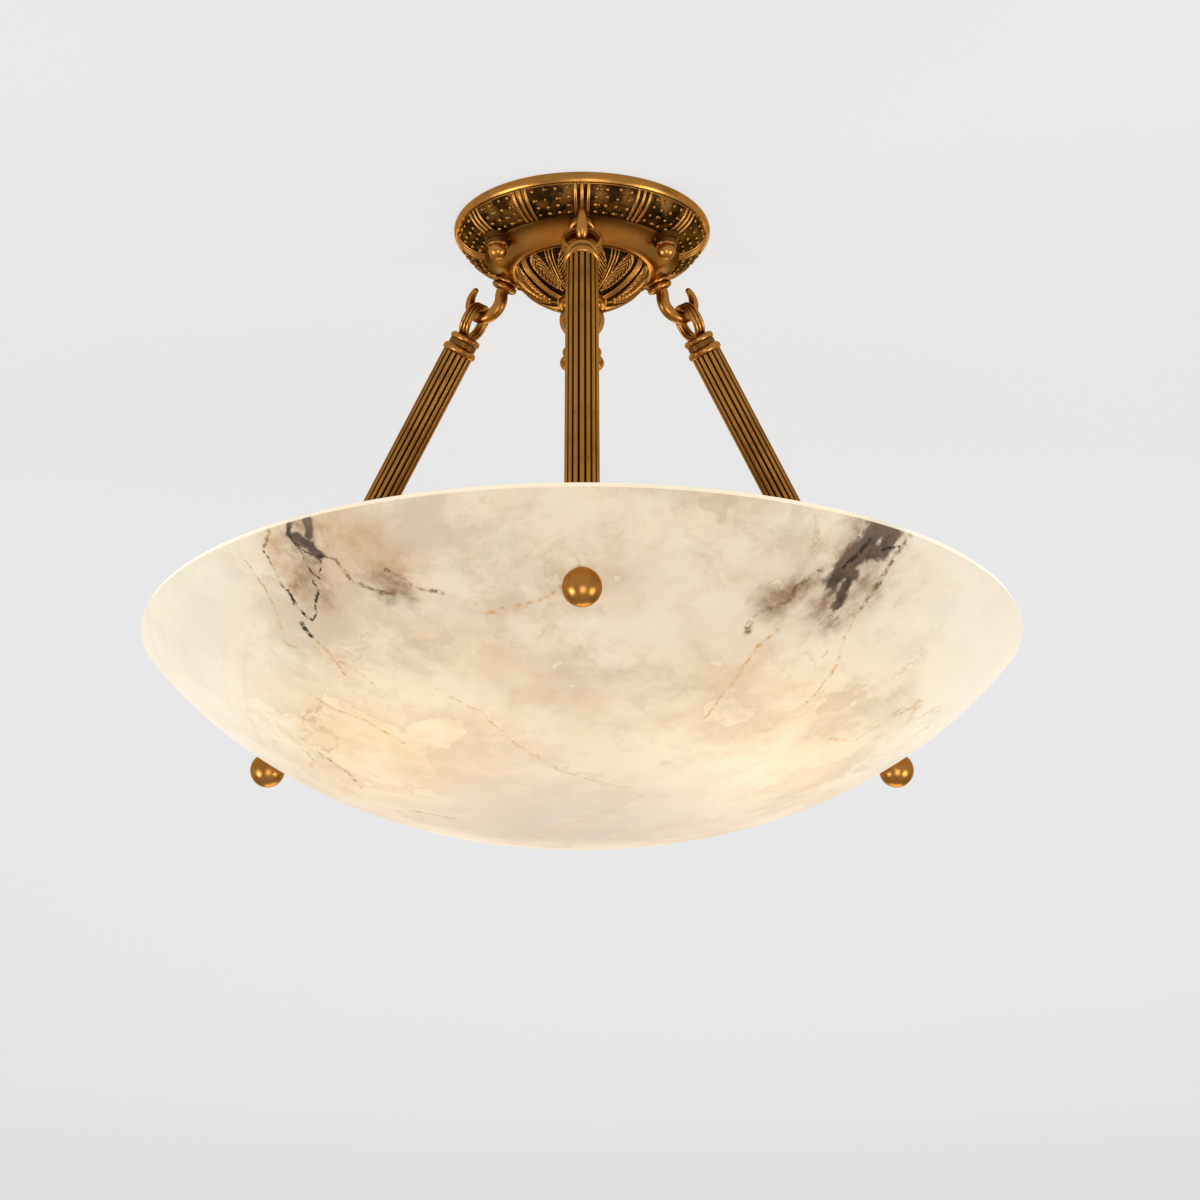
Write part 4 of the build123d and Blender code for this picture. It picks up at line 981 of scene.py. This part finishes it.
finishes = {
    "alabaster": stone,
    "antique_brass": brass,
    "zinc_steel": plain_material("zinc_steel", (0.55, 0.56, 0.58), 1.0, 0.35),
    "earth_brass": plain_material("bright_brass", (0.72, 0.53, 0.22), 1.0, 0.25),
    "rubber": plain_material("rubber_black", (0.03, 0.03, 0.03), 0.0, 0.7),
    "porcelain": plain_material("porcelain", (0.86, 0.84, 0.79), 0.0, 0.22, 30.0, 0.05),
    "cap_nickel": plain_material("cap_nickel", (0.74, 0.73, 0.70), 1.0, 0.28),
    "lamp_glass": lamp_glass,
}
for part in frame["record"]["subparts"]:
    chosen = special.get(part["node"], finishes[part["material_slot"]])
    for slot in nodes[part["node"]].material_slots:
        slot.material = chosen

# %% [markdown]
# The studio is plain: a pale ceiling that the light hangs from, a pale floor far below, and large
# soft lamps. The ceiling is clear from above, so that the light can be looked at from every side.
# Most of the ceiling's paleness to the camera is its own, and half of the floor's, which keeps them
# even and still lets the object's soft shadow show.

# %% Studio
pale = 0.80
plane_width = 16.0
ceiling_height, floor_height = 0.3 * mm, -2.6


def seen_directly(r):
    """1 for rays from the camera, a mirror or glass, which all should show the background."""
    rays = r.node("ShaderNodeLightPath").outputs
    seen = r.math("MAXIMUM", rays["Is Camera Ray"], rays["Is Glossy Ray"])
    return r.math("MAXIMUM", seen, rays["Is Transmission Ray"])


def stage_plane(name, height, facing_down, own_light):
    """A large pale plane that isn't part of the object."""
    mesh = bpy.data.meshes.new(name)
    half = plane_width / 2
    corners = [(-half, -half, height), (half, -half, height), (half, half, height), (-half, half, height)]
    mesh.from_pydata(corners, [], [(3, 2, 1, 0) if facing_down else (0, 1, 2, 3)])
    plane = bpy.data.objects.new(name, mesh)
    bpy.context.collection.objects.link(plane)
    made, shader, r = new_material(name)
    tone = pale * (1 - own_light)
    shader.inputs["Base Color"].default_value = colour(tone, tone, tone)
    shader.inputs["Roughness"].default_value = 0.9
    shader.inputs["Emission Color"].default_value = colour(pale, pale, pale)
    r.tree.links.new(r.math("MULTIPLY", seen_directly(r), own_light), shader.inputs["Emission Strength"])
    clear = r.node("ShaderNodeBsdfTransparent")
    back = r.node("ShaderNodeNewGeometry").outputs["Backfacing"]
    joined = r.node("ShaderNodeMixShader", [back, shader.outputs[0], clear.outputs[0]])
    end = next(n for n in r.tree.nodes if n.type == "OUTPUT_MATERIAL")
    r.tree.links.new(joined.outputs[0], end.inputs["Surface"])
    mesh.materials.append(made)
    plane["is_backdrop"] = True


stage_plane("ceiling", ceiling_height, facing_down=True, own_light=0.85)
stage_plane("floor", floor_height, facing_down=False, own_light=0.5)


def soft_lamp(name, place, target, size, power):
    """A square area lamp that looks at a target."""
    light = bpy.data.lights.new(name, "AREA")
    light.size = size
    light.energy = power
    lamp_object = bpy.data.objects.new(name, light)
    bpy.context.collection.objects.link(lamp_object)
    lamp_object.location = place
    direction = Vector(target) - Vector(place)
    lamp_object.rotation_euler = direction.to_track_quat("-Z", "Y").to_euler()


middle = (0.0, 0.0, -0.18)
soft_lamp("left_soft", (-2.2, -0.9, -1.5), middle, 1.1, 34)
soft_lamp("right_soft", (2.2, -0.9, -1.5), middle, 1.1, 30)
soft_lamp("front_soft", (0.3, -2.6, -1.9), middle, 1.6, 30)
soft_lamp("back_soft", (0.2, 2.3, -1.9), middle, 1.8, 22)

world = bpy.data.worlds.new("studio")
bpy.context.scene.world = world
world.use_nodes = True
r = Recipe(world.node_tree)
background = next(n for n in world.node_tree.nodes if n.type == "BACKGROUND")
background.inputs["Color"].default_value = colour(1.0, 1.0, 1.0)
world_light = 0.42
r.tree.links.new(r.ease(seen_directly(r), 0.0, 1.0, world_light, pale), background.inputs["Strength"])
bpy.context.scene.view_settings.view_transform = "Standard"
print("studio ready")

# %% [markdown]
# The photograph looks up at the light from just below, from about two metres away. The camera
# stands there, with a long lens, and is shifted a little to the side as the picture is.

# %% Camera at the photograph's angle
camera_place = (0.0, -1.909, -0.909)
looking_up = radians(19.44)
camera = bpy.data.cameras.new("camera")
camera.sensor_width = 36.0
camera.lens = 105.9
camera.shift_x = 0.015
camera_object = bpy.data.objects.new("camera", camera)
bpy.context.collection.objects.link(camera_object)
camera_object.location = camera_place
camera_object.rotation_euler = (radians(90) + looking_up, 0.0, 0.0)
bpy.context.scene.camera = camera_object
print("camera looks up, degrees:", round(degrees(looking_up), 2))

# %% Sizes and finish
visual_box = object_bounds()
differences = [abs(a - b) / mm for p, q in zip(cad_box, visual_box) for a, b in zip(p, q)]
print("largest difference, mm:", max(differences))
